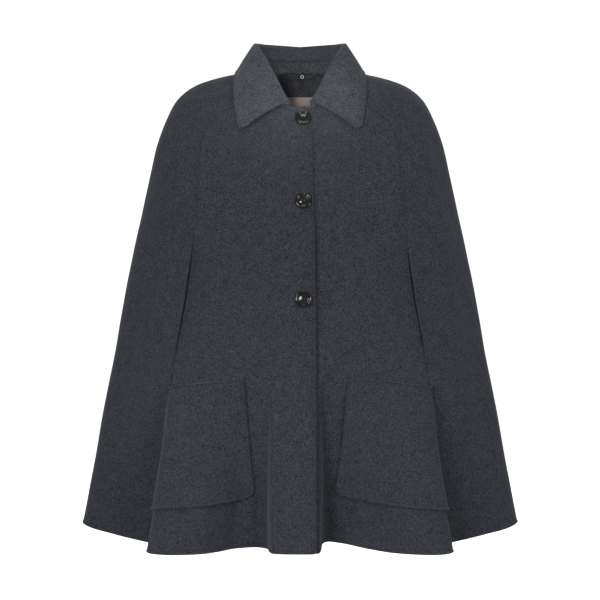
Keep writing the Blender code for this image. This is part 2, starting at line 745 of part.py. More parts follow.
def make_buttons():
    shared = button_mesh()
    for number, z in enumerate(BUTTON_HEIGHTS):
        point, outward = button_seat(z)
        name = f"button_{number + 1}"
        button = placed_object(name, shared.copy(), "button_black")
        button.matrix_world = facing(point + outward * (CLOTH / 2 + BUTTON_SEAT), outward)


def button_seat(z):
    """The point of the right front under a button, and the way that the button faces."""
    column = 0.0
    edge_out = abs(front_point(RIGHT, level_at(RIGHT, column, z), column)[0])
    column = (edge_out - BUTTON_X) / (edge_out + RIGHT_HEM[1].out)
    level = level_at(RIGHT, column, z)
    point = front_point(RIGHT, level, column)
    down = front_point(RIGHT, level + PROBE, column) - front_point(RIGHT, level - PROBE, column)
    outward = unit(np.array((0.0, down[2], -down[1])))
    point[0] = BUTTON_X
    return point, outward


def back_inside(x, z):
    """A point of the back's middle at a place across and a height, and the way out of the body."""
    low, high = 0.0, float(HEM)
    for _ in range(SEARCH_STEPS):
        level = (low + high) / 2
        cut = section(level)
        point = ring_point(level, angle_at(cut, abs(x), behind=True))
        if point[2] > z:
            low = level
        else:
            high = level
    outward = ring_normal(level, angle_at(cut, abs(x), behind=True))
    return point * np.array((math.copysign(1, x), 1, 1)), outward * np.array((math.copysign(1, x), 1, 1))


def make_label():
    """The satin label, made from the back's inner points moved in."""
    grid, outward = [], []
    across = np.linspace(-LABEL_WIDTH / 2, LABEL_WIDTH / 2, LABEL_COLUMNS)
    for z in np.linspace(LABEL_TOP, LABEL_BOTTOM, LABEL_ROWS):
        places = [back_inside(x, z) for x in across]
        grid.append([place[0] for place in places])
        outward.append([place[1] for place in places])
    grid, outward = np.array(grid), np.array(outward)
    inset = CLOTH / 2 + LABEL_GAP + LABEL_THICKNESS / 2
    wall_object("label", grid - outward * inset, outward, LABEL_THICKNESS, "satin")


def make_hanger_loop():
    """A flat loop of cloth that hangs across the inside of the neckline at the back."""
    grid, outward = [], []
    half = LOOP_LENGTH / 2
    for x in np.linspace(-half, half, LOOP_STEPS + 1):
        sag = LOOP_SAG * (1 - (x / half) ** 2)
        angle = math.pi - math.asin(abs(x) / section(0).half_width)
        neck = ring_point(0, angle) * np.array((math.copysign(1, x), 1, 1))
        facing_in = unit(neck * np.array((1, 1, 0)) - np.array((0, section(0).side_y, 0)))
        point = neck - facing_in * (CLOTH / 2 + SEAM_GAP + LOOP_THICKNESS / 2 + LOOP_LEAN * sag)
        point[2] = LOOP_Z - sag
        grid.append([point + (0, 0, LOOP_WIDTH / 2), point - (0, 0, LOOP_WIDTH / 2)])
        outward.append([facing_in, facing_in])
    wall_object("hanger_loop", np.array(grid), np.array(outward), LOOP_THICKNESS, "wool")


def make_neck_stud():
    """The small round fitting in front of the loop."""
    work = bmesh.new()
    bmesh.ops.create_cone(
        work,
        cap_ends=True,
        segments=BUTTON_SIDES,
        radius1=STUD_RADIUS * MM,
        radius2=STUD_FACE_RADIUS * MM,
        depth=STUD_THICKNESS * MM,
    )
    mesh = bpy.data.meshes.new("neck_stud")
    work.to_mesh(mesh)
    work.free()
    stud = placed_object("neck_stud", mesh, "fitting")
    loop_face = CLOTH / 2 + SEAM_GAP + LOOP_THICKNESS + LOOP_LEAN * LOOP_SAG
    inset = loop_face + 2 * SEAM_GAP + STUD_THICKNESS / 2
    y = ring_point(0, math.pi)[1] - inset
    stud.matrix_world = facing((STUD_X, y, STUD_Z - LOOP_SAG), (0, -1, 0))


def new_collection(name):
    made = bpy.data.collections.new(name)
    bpy.context.scene.collection.children.link(made)
    return made


for old in list(bpy.data.objects):
    bpy.data.objects.remove(old, do_unlink=True)
PARTS = new_collection("cape")
CUTTERS = new_collection("cutters")
make_body()
make_collar()
for each_pocket in POCKETS:
    make_pocket(each_pocket)
make_buttons()
make_label()
make_hanger_loop()
make_neck_stud()
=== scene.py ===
"""The looks of a hip-length wool cape: soft cloth shells, stitched edges, buttons and their finishes.

The cloth's form is worked out in millimetres, as the solids' form is, and written in metres. +X is the
wearer's left, -Y is the front and +Z is up, with the origin at the neck.
"""

import math
from collections import namedtuple
from functools import lru_cache

import bmesh
import bpy
import numpy as np
from bpy.props import FloatProperty, FloatVectorProperty, IntProperty, PointerProperty
from mathutils import Matrix, Vector


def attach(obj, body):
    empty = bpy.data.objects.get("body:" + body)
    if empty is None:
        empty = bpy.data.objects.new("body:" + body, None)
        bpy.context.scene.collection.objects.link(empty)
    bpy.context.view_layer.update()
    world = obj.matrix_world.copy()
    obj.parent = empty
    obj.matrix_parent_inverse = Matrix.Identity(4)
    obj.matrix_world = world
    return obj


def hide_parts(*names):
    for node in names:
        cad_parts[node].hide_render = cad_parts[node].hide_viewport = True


bl_info = {
    "name": "Wool Cape",
    "version": (1, 0, 0),
    "blender": (4, 5, 0),
    "location": "View3D > Sidebar > Cape",
    "description": "Builds a hip-length wool cape with raglan wings, a turned-down collar and pockets",
    "category": "Object",
}

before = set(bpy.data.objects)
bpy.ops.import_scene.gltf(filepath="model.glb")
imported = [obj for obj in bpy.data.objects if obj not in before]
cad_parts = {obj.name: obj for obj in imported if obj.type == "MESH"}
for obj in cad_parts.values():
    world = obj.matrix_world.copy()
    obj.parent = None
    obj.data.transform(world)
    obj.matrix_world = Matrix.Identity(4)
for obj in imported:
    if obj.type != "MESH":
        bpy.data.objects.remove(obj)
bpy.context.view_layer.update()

MM = 0.001
RIGHT, LEFT = -1, 1
SIDE_NAMES = {RIGHT: "right", LEFT: "left"}

# Cloth and seams
CLOTH = 2.4
NAP_HEIGHT = 0.35
SEAM_GAP = 0.3
SEAM_LAP = 0.5
POCKET_GAP = 0.8
OVERLAP_GAP = 0.5

# The body: a row for each ring of the cape, from the neckline to the hem
Section = namedtuple(
    "Section",
    "name half_width side_y side_z front_y front_z wing_y wing_z back_y back_z"
    " roundness front_seam back_seam",
)
SECTIONS = (
    Section("neckline", 76, -6, -2, -76, -65, -76, -65, 62, 4, 2.0, 64, 46),
    Section("collar edge", 112, -2, -7.5, -98, -112, -98, -112, 86, -24, 3.2, 98, 86),
    Section("shoulder", 160, 0, -21.5, -108, -150, -108, -150, 98, -52, 3.0, 136, 126),
    Section("shoulder end", 190, 0, -44, -116, -195, -116, -195, 106, -92, 2.6, 150, 146),
    Section("sleeve head", 207, 0, -75, -122, -220, -122, -220, 111, -128, 2.4, 151, 151),
    Section("upper arm", 221, 0, -114, -127, -245, -127, -245, 116, -168, 2.3, 152, 154),
    Section("bust", 247, 0, -231, -133, -320, -133, -320, 128, -272, 2.15, 162, 166),
    Section("waist", 263, 2, -302, -136, -370, -135, -370, 136, -338, 2.1, 170, 177),
    Section("hip", 294, 5, -466, -143, -500, -134, -500, 156, -487, 2.1, 193, 207),
    Section("hem", 340, 10, -704, -152, -730, -94, -743, 190, -730, 2.0, 213, 252),
)
HEM = len(SECTIONS) - 1
SLIT_TOP, SLIT_BOTTOM = 5.75, 7.9

# Centre front
TOP_LAP_NECK, TOP_LAP_HEM = 17.5, 25.0
UNDER_LAP = 15.0
LAP_CORNER, LAP_CORNER_LEVELS = 9.0, 0.3
LAP_BLEND = 34.0
HEM_CORNER, HEM_CORNER_REACH = 7.0, 36.0
LAP_LIP, LAP_LIP_REACH = 1.5, 4.5

# The hem of each front seen from above, and where the same line of cloth lies above the folds
HemPoint = namedtuple("HemPoint", "name out forward lift top_out")
RIGHT_HEM = (
    HemPoint("front edge", -25, 153, 0, -22),
    HemPoint("roll", 8, 154, 0, 8),
    HemPoint("roll edge", 38, 151, 0, 38),
    HemPoint("roll turn", 44, 139, 0, 44),
    HemPoint("trough wall", 48, 112, 1, 48),
    HemPoint("trough", 68, 98, 2, 62),
    HemPoint("trough end", 95, 104, 1, 85),
    HemPoint("rise", 122, 134, 0, 107),
    HemPoint("bulge", 152, 162, 0, 130),
    HemPoint("bulge side", 190, 171, 0, 156),
    HemPoint("side fold", 219, 160, 0, 178),
    HemPoint("fold turn", 226, 141, 0, 184),
    HemPoint("return", 221, 106, 0, 188.5),
)
LEFT_HEM = (
    HemPoint("front edge", -15, 153, 0, -15),
    HemPoint("roll", 12, 153, 0, 12),
    HemPoint("roll edge", 27, 149, 0, 27),
    HemPoint("roll turn", 30, 134, 2, 31),
    HemPoint("trough wall", 32, 102, 6, 34),
    HemPoint("trough", 43, 82, 8, 43),
    HemPoint("trough end", 66, 88, 6, 62),
    HemPoint("slope", 102, 116, 2, 88),
    HemPoint("rise", 135, 143, 0, 114),
    HemPoint("bulge", 166, 163, 0, 138),
    HemPoint("bulge side", 197, 171, 0, 160),
    HemPoint("side fold", 220, 160, 0, 178),
    HemPoint("fold turn", 226, 141, 0, 184),
    HemPoint("return", 221, 106, 0, 188.5),
)
HEMS = {RIGHT: RIGHT_HEM, LEFT: LEFT_HEM}
FOLD_START_Z = -425
FOLD_GROWTH = 1.25

# Large soft folds: shares across the panel and the levels where each starts and stands out most
Fold = namedtuple("Fold", "name panel share_top share_most level_top level_most half_share height")
FOLDS = (
    Fold("right chest ridge", "front_right", 0.84, 0.83, 4.4, 6.6, 0.16, 3.5),
    Fold("left bust ridge", "front_left", 0.46, 0.48, 4.4, 5.9, 0.14, 2.5),
    Fold("left chest ridge", "front_left", 0.91, 0.88, 3.8, 5.4, 0.12, 3.0),
    Fold("right wing front", "wing_right", 0.16, 0.18, 2.6, 4.6, 0.13, 3.5),
    Fold("right wing side", "wing_right", 0.40, 0.38, 5.6, 9.0, 0.12, 4.0),
    Fold("right wing back", "wing_right", 0.80, 0.79, 5.2, 9.0, 0.14, 13.0),
    Fold("left wing front", "wing_left", 0.18, 0.22, 2.8, 5.6, 0.14, 3.5),
    Fold("left wing side", "wing_left", 0.42, 0.36, 6.0, 9.0, 0.12, 4.0),
    Fold("left wing back", "wing_left", 0.79, 0.81, 5.0, 9.0, 0.14, 12.0),
    Fold("back right flute", "back", 0.25, 0.20, 4.8, 9.0, 0.15, 22.0),
    Fold("back middle flute", "back", 0.48, 0.47, 5.4, 9.0, 0.11, 15.0),
    Fold("back left flute", "back", 0.74, 0.78, 4.9, 9.0, 0.16, 23.0),
)

# Small creases: each runs from one place to another on a panel, by the share across the
# panel and the height, and is a trough where its depth is above 0 and a ridge where it is below
Crease = namedtuple("Crease", "name panel share_from z_from share_to z_to half_width depth")
CREASES = (
    Crease("under right collar point", "front_right", 0.62, -150, 0.40, -196, 9, 0.7),
    Crease("top button pull, right", "front_right", 0.20, -120, 0.52, -132, 10, 0.6),
    Crease("middle button pull, high", "front_right", 0.22, -205, 0.55, -186, 11, 0.7),
    Crease("middle button pull, low", "front_right", 0.20, -228, 0.48, -262, 12, 0.7),
    Crease("right slit top pull", "front_right", 0.98, -238, 0.74, -206, 10, 0.9),
    Crease("right slit ridge", "front_right", 0.835, -226, 0.80, -470, 11, -3.4),
    Crease("right slit hollow", "front_right", 0.93, -262, 0.915, -470, 13, 1.2),
    Crease("right chest trough", "front_right", 0.66, -232, 0.60, -420, 16, 2.4),
    Crease("lower button pull", "front_right", 0.24, -372, 0.36, -470, 12, 1.0),
    Crease("right pocket mouth", "front_right", 0.60, -430, 0.72, -474, 12, -0.9),
    Crease("right hem ripple", "front_right", 0.50, -640, 0.53, -728, 10, 1.0),
    Crease("left collar point", "front_left", 0.64, -146, 0.46, -182, 9, 0.7),
    Crease("left bust trough", "front_left", 0.60, -196, 0.68, -330, 15, 1.5),
    Crease("left slit top pull", "front_left", 0.98, -240, 0.78, -212, 10, 0.9),
    Crease("left slit ridge", "front_left", 0.80, -190, 0.84, -420, 13, -2.8),
    Crease("hollow under the lap", "front_left", 0.25, -100, 0.185, -735, 5, 2.6),
    Crease("left waist trough", "front_left", 0.32, -250, 0.30, -470, 16, 2.2),
    Crease("left pocket mouth", "front_left", 0.52, -436, 0.66, -470, 12, -0.8),
    Crease("left hem ripple", "front_left", 0.62, -650, 0.60, -728, 11, 1.0),
    Crease("right shoulder break", "wing_right", 0.06, -120, 0.24, -176, 12, 1.2),
    Crease("right sleeve head soft", "wing_right", 0.34, -92, 0.40, -210, 20, 1.4),
    Crease("right wing long trough", "wing_right", 0.27, -250, 0.22, -640, 18, 2.4),
    Crease("right wing side trough", "wing_right", 0.52, -330, 0.50, -700, 20, 2.6),
    Crease("right wing short ridge", "wing_right", 0.12, -470, 0.10, -600, 12, -1.2),
    Crease("right wing back trough", "wing_right", 0.68, -260, 0.66, -690, 18, 2.2),
    Crease("left shoulder break", "wing_left", 0.08, -128, 0.26, -170, 12, 1.1),
    Crease("left sleeve head soft", "wing_left", 0.36, -88, 0.38, -190, 20, 1.5),
    Crease("left wing long trough", "wing_left", 0.30, -300, 0.27, -690, 18, 2.5),
    Crease("left wing short trough", "wing_left", 0.12, -420, 0.09, -610, 13, 1.4),
    Crease("left wing side trough", "wing_left", 0.55, -280, 0.53, -650, 20, 2.3),
    Crease("left wing back trough", "wing_left", 0.69, -300, 0.67, -710, 18, 2.4),
    Crease("yoke soft break", "back", 0.30, -66, 0.66, -74, 16, 0.9),
    Crease("back right trough", "back", 0.36, -300, 0.34, -724, 22, 3.0),
    Crease("back left trough", "back", 0.61, -250, 0.64, -724, 22, 3.2),
    Crease("back short trough", "back", 0.13, -430, 0.10, -700, 16, 2.0),
    Crease("back left short trough", "back", 0.88, -390, 0.90, -690, 16, 2.1),
    Crease("blade crease, right", "back", 0.22, -150, 0.30, -236, 13, 0.9),
    Crease("blade crease, left", "back", 0.80, -142, 0.72, -222, 13, 0.8),
)

# The cloth is nowhere quite flat: long low waves, by length across, length down, phase and height
Wave = namedtuple("Wave", "name across down phase height")
WAVES = (
    Wave("broad", 190, 260, 0.4, 0.55),
    Wave("slanted", 118, -170, 2.1, 0.38),
    Wave("short", 63, 104, 4.0, 0.20),
)

# Arm slits
SLIT_OPEN = 1.2
SLIT_END_LEVELS = 0.05
WING_LIFT = 4.0
PANEL_SINK = 3.5
SLIT_BLEND = 48.0
SLIT_SHARPNESS, SLIT_GAP_SHARPNESS = 0.55, 0.35
SLIT_FINISH_LEVELS = 0.12

# The fine grid of each panel: distances from an edge, and the even steps between them
EDGE_STEPS = (0, 0.3, 0.7, 1.2, 2.0, 2.8, 3.5, 4.2, 4.9, 5.7, 7.2)
FRONT_STEPS, WING_STEPS, BACK_STEPS = 100, 84, 108
DOWN_STEPS, UPPER_STEPS, UPPER_LEVELS = 150, 56, 5
DENSE_STEPS = 220

# Columns in from an edge: where a seam's panel is met, how far the stitched channel can be, and where a
# search along a front starts and ends
SEAM_COLUMN, CHANNEL_COLUMNS = 12, 24
SEARCH_FIRST, SEARCH_LAST = 4, 14

# How far in from an edge a seam's gap and the small creases fade
SEAM_FADE, CREASE_FADE = 14.0, 26.0

# Edges: the cloth rounds off over half its thickness, a hand-stitched channel runs beside a finished
# edge, and a sewn edge rolls down into its seam
STITCH_CHANNEL, CHANNEL_WIDTH, CHANNEL_DEPTH = 4.2, 0.9, 0.6
SEAM_ROLL, SEAM_DEPTH, SEAM_ROUNDING = 2.4, 0.45, 0.55
EDGE_PUFF = 0.85
STITCH_PITCH, STITCH_LENGTH, STITCH_RADIUS = 6.5, 3.4, 0.34

# The collar
Roll = namedtuple("Roll", "angle height scale radius stand_share bulge")
ROLLS = (
    Roll(12.9, 6.0, 1.00, 2.6, 0.33, 5.0),
    Roll(20, 17, 0.99, 3.0, 0.36, 5.5),
    Roll(32, 33, 0.97, 3.4, 0.42, 5.0),
    Roll(52, 44.5, 0.94, 3.6, 0.45, 2.5),
    Roll(70, 43.6, 0.915, 3.2, 0.46, 0.8),
    Roll(90, 44.4, 0.90, 3.0, 0.46, 0.5),
    Roll(110, 46.8, 0.90, 3.2, 0.46, 0.8),
    Roll(135, 46, 0.90, 3.8, 0.46, 1.5),
    Roll(180, 42.5, 0.91, 3.8, 0.46, 2.5),
)
LeafEdge = namedtuple("LeafEdge", "angle level edge_angle")
LEAF_EDGE = (
    LeafEdge(12.9, 1.52, 32.0),
    LeafEdge(20, 1.26, 40.5),
    LeafEdge(32, 1.04, 52.5),
    LeafEdge(52, 0.90, 64),
    LeafEdge(70, 0.76, 76),
    LeafEdge(90, 0.64, 92),
    LeafEdge(135, 0.74, 135),
    LeafEdge(180, 0.80, 180),
)
COLLAR_START = 12.9
COLLAR_SEAT = 0.3
LEAF_CORNER = 21.0
LEAF_CLEARANCE = 3.5
LEAF_FALL_STEPS = 26
ROLL_ARC_STEPS = 12
COLLAR_STEPS, COLLAR_CLOSENESS = 88, 2.1
STAND_STEPS, LEAF_RISE_STEPS = 12, 7

# Pockets
Pocket = namedtuple("Pocket", "name side top_in top_in_z top_out_z bottom_in bottom_in_z bottom_out_z")
POCKETS = (
    Pocket("pocket_right", RIGHT, 82, -471, -488, 69, -652, -672),
    Pocket("pocket_left", LEFT, 72, -468, -488, 54, -650, -674),
)
POCKET_STEPS, POCKET_WIDTH = 56, 150.0
POCKET_CORNER, POCKET_SINK = 14.0, 0.4
POCKET_SIDE_ROWS = 1 / 1.5
POCKET_SAG, POCKET_EDGE_LIFT, POCKET_EDGE_REACH = 1.6, 1.3, 4.5

# Buttons
ButtonPoint = namedtuple("ButtonPoint", "name from_middle height")
BUTTON_PROFILE = (
    ButtonPoint("dome middle", 0.0, 3.1),
    ButtonPoint("dome", 2.4, 3.0),
    ButtonPoint("dome side", 4.6, 2.6),
    ButtonPoint("groove", 6.6, 2.2),
    ButtonPoint("groove edge", 7.8, 2.5),
    ButtonPoint("rim foot", 8.6, 3.55),
    ButtonPoint("rim inside", 9.5, 4.15),
    ButtonPoint("rim top", 10.5, 4.4),
    ButtonPoint("rim outside", 11.6, 4.1),
    ButtonPoint("edge", 12.4, 3.1),
    ButtonPoint("widest", 12.5, 2.4),
    ButtonPoint("under edge", 11.9, 1.2),
    ButtonPoint("foot", 9.0, 0.2),
    ButtonPoint("foot middle", 0.0, 0.1),
)
BUTTON_HEIGHTS = (-83.0, -209.0, -355.0)
BUTTON_X = 5.0
BUTTON_SEAT = 0.4
BUTTON_SIDES, BUTTON_STEPS = 72, 44
DRILL_SIDES, DRILL_DEPTH = 20, 14.0
BUTTON_HOLES, BUTTON_HOLE_RADIUS, BUTTON_HOLE_OFFSET = 4, 1.1, 2.3
THREAD_RADIUS = 0.38
BUTTONHOLE_START, BUTTONHOLE_END, BUTTONHOLE_WIDTH, BUTTONHOLE_LIP = -17.5, 10.0, 2.6, 0.75

# Inside the back of the neck
LOOP_LENGTH, LOOP_SAG, LOOP_WIDTH, LOOP_THICKNESS = 50.0, 5.0, 5.0, 1.6
LOOP_Z, LOOP_LEAN = 3.2, 0.4
STUD_RADIUS, STUD_THICKNESS = 4.3, 2.6
STUD_X, STUD_Z = 3.5, 4.6
LABEL_WIDTH, LABEL_TOP, LABEL_BOTTOM, LABEL_THICKNESS = 58.0, -28.0, -60.0, 0.8
LABEL_GAP = 0.6
LABEL_ROWS, LABEL_COLUMNS = 34, 60

# The stage: the camera stands level with the middle of the photograph's frame
CAMERA_DISTANCE = 2.55
CAMERA_HEIGHT = -0.35625
FRAME_WIDTH = 0.9375
SENSOR = 36.0
FLOOR_Z = -0.93
FLOOR_SIDES, FLOOR_RADIUS, FLOOR_COVE, WALL_HEIGHT = 96, 7.0, 1.6, 7.0
FLOOR_GLOW, WORLD_STRENGTH = 0.85, 0.32


def smooth_curve(places, values, at):
    """The value at a place on the monotone cubic through the given ones, so that nothing overshoots."""
    at = min(max(at, places[0]), places[-1])
    last = len(places) - 1
    i = min(int(np.searchsorted(places, at, side="right")) - 1, last - 1)
    spans = [places[k + 1] - places[k] for k in range(last)]
    rises = [(values[k + 1] - values[k]) / spans[k] for k in range(last)]

    def slope(k):
        if k == 0:
            return rises[0]
        if k == last:
            return rises[-1]
        before, after = rises[k - 1], rises[k]
        return 0.0 if before * after <= 0 else 2 * before * after / (before + after)

    t = (at - places[i]) / spans[i]
    return (
        values[i] * (1 + 2 * t) * (1 - t) ** 2
        + values[i + 1] * t * t * (3 - 2 * t)
        + spans[i] * (slope(i) * t * (1 - t) ** 2 - slope(i + 1) * t * t * (1 - t))
    )


def table_value(table, field, at, by=None):
    """A column of a table at a fractional row or, where `by` names a column, at a value of that column."""
    places = [getattr(row, by) for row in table] if by else list(range(len(table)))
    return smooth_curve(places, [getattr(row, field) for row in table], at)


def unit(vector):
    return vector / np.linalg.norm(vector)


def smooth_step(value):
    value = np.clip(value, 0, 1)
    return value * value * (3 - 2 * value)


@lru_cache(None)
def section(level):
    fields = Section._fields[1:]
    return Section(f"level {level}", *(table_value(SECTIONS, field, level) for field in fields))


def angle_at(cut, out, behind=False):
    """The angle round the ring, from the front, at which it is this far out from the middle."""
    angle = math.asin((min(out / cut.half_width, 1.0)) ** (cut.roundness / 2))
    return math.pi - angle if behind else angle


def ring_points(level, angles):
    """Points of a level's ring on the wearer's left; the angle is 0 at the front and pi at the back."""
    cut = section(level)
    angles = np.asarray(angles, float)
    across = np.clip(np.sin(angles), 0, 1) ** (2 / cut.roundness)
    along = np.abs(np.cos(angles)) ** (2 / cut.roundness)
    front = angles < math.pi / 2
    reach_y = np.where(front, cut.wing_y, cut.back_y)
    reach_z = np.where(front, cut.wing_z, cut.back_z)
    y = cut.side_y + (reach_y - cut.side_y) * along
    z = cut.side_z + (reach_z - cut.side_z) * along**2
    return np.stack((cut.half_width * across, y, z), axis=-1)


def ring_normal(level, angle):
    """The direction out of the body at a point of a ring."""
    step = 0.02
    along = ring_points(level, min(angle + step, math.pi)) - ring_points(level, max(angle - step, 0.0))
    down = ring_points(level + step, angle) - ring_points(max(level - step, 0), angle)
    normal = unit(np.cross(down, along))
    return -normal if normal @ np.array((math.sin(angle), -math.cos(angle), 0.3)) < 0 else normal


def lap_edge(side, level):
    """How far out from the middle a front's edge is; it is past the middle, so it is negative."""
    if side == LEFT:
        return -UNDER_LAP
    near_neck = max(0.0, 1 - level / LAP_CORNER_LEVELS)
    return -(TOP_LAP_NECK + (TOP_LAP_HEM - TOP_LAP_NECK) * level / HEM - LAP_CORNER * near_neck**2)


def plain_front_points(level, out):
    """Points of the front before folds, this far out from the middle, on the wearer's left."""
    cut = section(level)
    out = np.asarray(out, float)
    seam = ring_points(level, angle_at(cut, cut.front_seam))
    seam_share = (seam[1] - cut.side_y) / (cut.front_y - cut.side_y)
    half_width = cut.front_seam / (1 - seam_share**cut.roundness) ** (1 / cut.roundness)
    share = (1 - (np.abs(out) / half_width) ** cut.roundness) ** (1 / cut.roundness)
    rise = (share**2 - seam_share**2) / (1 - seam_share**2)
    y = cut.side_y + (cut.front_y - cut.side_y) * share
    return np.stack((out, y, seam[2] + (cut.front_z - seam[2]) * rise), axis=-1)


@lru_cache(None)
def front_columns(side):
    return np.linspace(0, len(HEMS[side]), DENSE_STEPS + 1)


@lru_cache(None)
def front_shares(side):
    """How far across its front each dense column is, from 0 at the front edge to 1 at the seam."""
    seam_out = SECTIONS[HEM - 1].front_seam
    tops = [point.top_out for point in HEMS[side]] + [seam_out]
    top_out = [smooth_curve(list(range(len(tops))), tops, column) for column in front_columns(side)]
    return (np.array(top_out) - tops[0]) / (seam_out - tops[0])


@lru_cache(None)
def hem_shift(side):
    """How far the hem's folds move the cloth at each dense column, away from the plain front."""
    hem = HEMS[side]
    edge = lap_edge(side, HEM)
    seam = plain_front_points(HEM, section(HEM).front_seam)
    places = list(range(len(hem) + 1))
    ends = {"out": seam[0], "forward": -seam[1], "lift": 0.0}
    at_hem = {}
    for field, end in ends.items():
        values = [getattr(point, field) for point in hem] + [end]
        at_hem[field] = np.array([smooth_curve(places, values, c) for c in front_columns(side)])
    plain = plain_front_points(HEM, edge + front_shares(side) * (seam[0] - edge))
    return np.stack((at_hem["out"] - plain[:, 0], -at_hem["forward"] - plain[:, 1], at_hem["lift"]), axis=-1)


def front_row(side, level):
    """Dense points of a front at a level, from its front edge to its seam, and their shares across."""
    cut = section(level)
    edge = lap_edge(side, level)
    shares = front_shares(side)
    out = edge + shares * (cut.front_seam - edge)
    points = plain_front_points(level, out)
    hem_z = SECTIONS[-1].front_z
    weight = np.clip((FOLD_START_Z - points[:, 2]) / (FOLD_START_Z - hem_z), 0, None) ** FOLD_GROWTH
    points = points + weight[:, None] * hem_shift(side)
    reach = TOP_LAP_HEM if side == LEFT else UNDER_LAP
    lap_fade = smooth_step((reach + LAP_BLEND - out) / LAP_BLEND)
    points[:, 1] += side * lap_fade * (CLOTH + OVERLAP_GAP) / 2
    points[:, 1] -= soft_relief(f"front_{SIDE_NAMES[side]}", shares, level)
    return points * np.array((side, 1, 1)), shares


def wing_row(side, level):
    """Dense points of a wing at a level, from the front seam over the side to the back seam."""
    cut = section(level)
    start, end = angle_at(cut, cut.front_seam), angle_at(cut, cut.back_seam, behind=True)
    points = ring_points(level, np.linspace(start, end, DENSE_STEPS + 1))
    return points * np.array((side, 1, 1)), run_of(points)


def back_row(level):
    """Dense points of the back at a level, from the seam on the wearer's right to the left one."""
    cut = section(level)
    start = angle_at(cut, cut.back_seam, behind=True)
    half = ring_points(level, np.linspace(start, math.pi, DENSE_STEPS // 2 + 1))
    points = np.vstack((half * np.array((-1, 1, 1)), half[-2::-1]))
    return points, run_of(points)


def run_of(points):
    """How far along a line each of its points is, from 0 to 1."""
    steps = np.linalg.norm(np.diff(points, axis=0), axis=1)
    return np.concatenate(((0.0,), np.cumsum(steps))) / steps.sum()


def lengths_along(points):
    """How far along a line each of its points is."""
    return np.concatenate(((0.0,), np.cumsum(np.linalg.norm(np.diff(points, axis=0), axis=1))))


def resampled(points, shares):
    """Points at the given shares of a line's length."""
    run = run_of(points)
    return np.column_stack([np.interp(shares, run, points[:, axis]) for axis in range(points.shape[1])])


def grid_normals(grid):
    normals = np.cross(np.gradient(grid, axis=0), np.gradient(grid, axis=1))
    return normals / np.maximum(np.linalg.norm(normals, axis=2, keepdims=True), 1e-9)


def outward_of(grid):
    """The unit normals of a grid of points, facing away from the middle of the body."""
    normals = grid_normals(grid)
    return normals if (normals * grid * np.array((1, 1, 0))).sum() > 0 else -normals


def soft_bump(distance):
    """A round bump, 1 at its middle and 0 from a distance of 1."""
    return np.cos(np.minimum(np.abs(distance), 1.0) * math.pi / 2) ** 2


def soft_relief(panel, shares, level):
    """How far the large soft folds of a panel raise its cloth at shares across it."""
    raised = np.zeros_like(shares)
    for fold in FOLDS:
        if fold.panel == panel:
            grown = (level - fold.level_top) / (fold.level_most - fold.level_top)
            middle = fold.share_top + (fold.share_most - fold.share_top) * grown
            raised += fold.height * soft_bump(grown - 1) * soft_bump((shares - middle) / fold.half_share)
    return raised


def crease_relief(panel, shares, grid):
    """How far the small creases and the long low waves raise a panel's cloth."""
    width = np.linalg.norm(np.diff(grid, axis=1), axis=2).sum(axis=1).max()
    across, down = shares * width, grid[:, :, 2]
    raised = np.zeros(grid.shape[:2])
    for crease in CREASES:
        if crease.panel != panel:
            continue
        start = np.array((crease.share_from * width, crease.z_from))
        along = np.array((crease.share_to * width, crease.z_to)) - start
        place = ((across - start[0]) * along[0] + (down - start[1]) * along[1]) / (along @ along)
        near = np.clip(place, 0, 1)
        distance = np.hypot(across - start[0] - near * along[0], down - start[1] - near * along[1])
        taper = np.sin(math.pi * (0.08 + 0.84 * near))
        raised -= crease.depth * taper * np.exp(-((distance / crease.half_width) ** 2))
    for wave in WAVES:
        turn = 2 * math.pi * (across / wave.across + down / wave.down) + wave.phase
        raised += wave.height * np.sin(turn) * np.sin(turn / 3 + wave.phase)
    return raised


def slit_gape(level):
    """How far the edges of an arm slit stand apart at a level, from 0 at its ends to 1."""
    top, bottom = SLIT_TOP + SLIT_END_LEVELS, SLIT_BOTTOM - SLIT_END_LEVELS
    share = min(max((level - top) / (bottom - top), 0.0), 1.0)
    return max(math.sin(math.pi * share), 0.0) ** SLIT_SHARPNESS


def gape_slit(grid, levels, forward, from_last):
    """Moves the cloth beside a slit forward or back, most at the slit's edge."""
    edge = -1 if from_last else 0
    for i, level in enumerate(levels):
        distance = np.linalg.norm(grid[i] - grid[i, edge], axis=1)
        grid[i, :, 1] -= forward * slit_gape(level) * np.clip(1 - distance / SLIT_BLEND, 0, 1) ** 2


@lru_cache(None)
def panel_levels():
    """The levels of the fine rows: even steps down, with close ones at the hem."""
    per_level = SECTIONS[HEM - 1].front_z - SECTIONS[HEM].front_z
    close = [HEM - step / per_level for step in EDGE_STEPS]
    upper = np.linspace(0, UPPER_LEVELS, UPPER_STEPS)[:-1]
    lower = np.linspace(UPPER_LEVELS, close[-1], DOWN_STEPS - UPPER_STEPS)
    return [float(level) for level in (*upper, *lower, *close[-2::-1])]


def steps_across(length, count):
    """Shares across a row of this length, with close steps at both ends."""
    end = [length - step for step in reversed(EDGE_STEPS)]
    middle = np.linspace(EDGE_STEPS[-1], end[0], count + 1)[1:-1]
    return np.array((*EDGE_STEPS, *middle, *end)) / length


def fine_panel(row_at, count, levels):
    """The grid of a panel's middle points, and the shares across of its folds."""
    grid, shares = [], []
    for level in levels:
        points, across = row_at(level)
        length = np.linalg.norm(np.diff(points, axis=0), axis=1).sum()
        steps = steps_across(length, count)
        grid.append(resampled(points, steps))
        shares.append(np.interp(steps, run_of(points), across))
    return np.array(grid), np.array(shares)


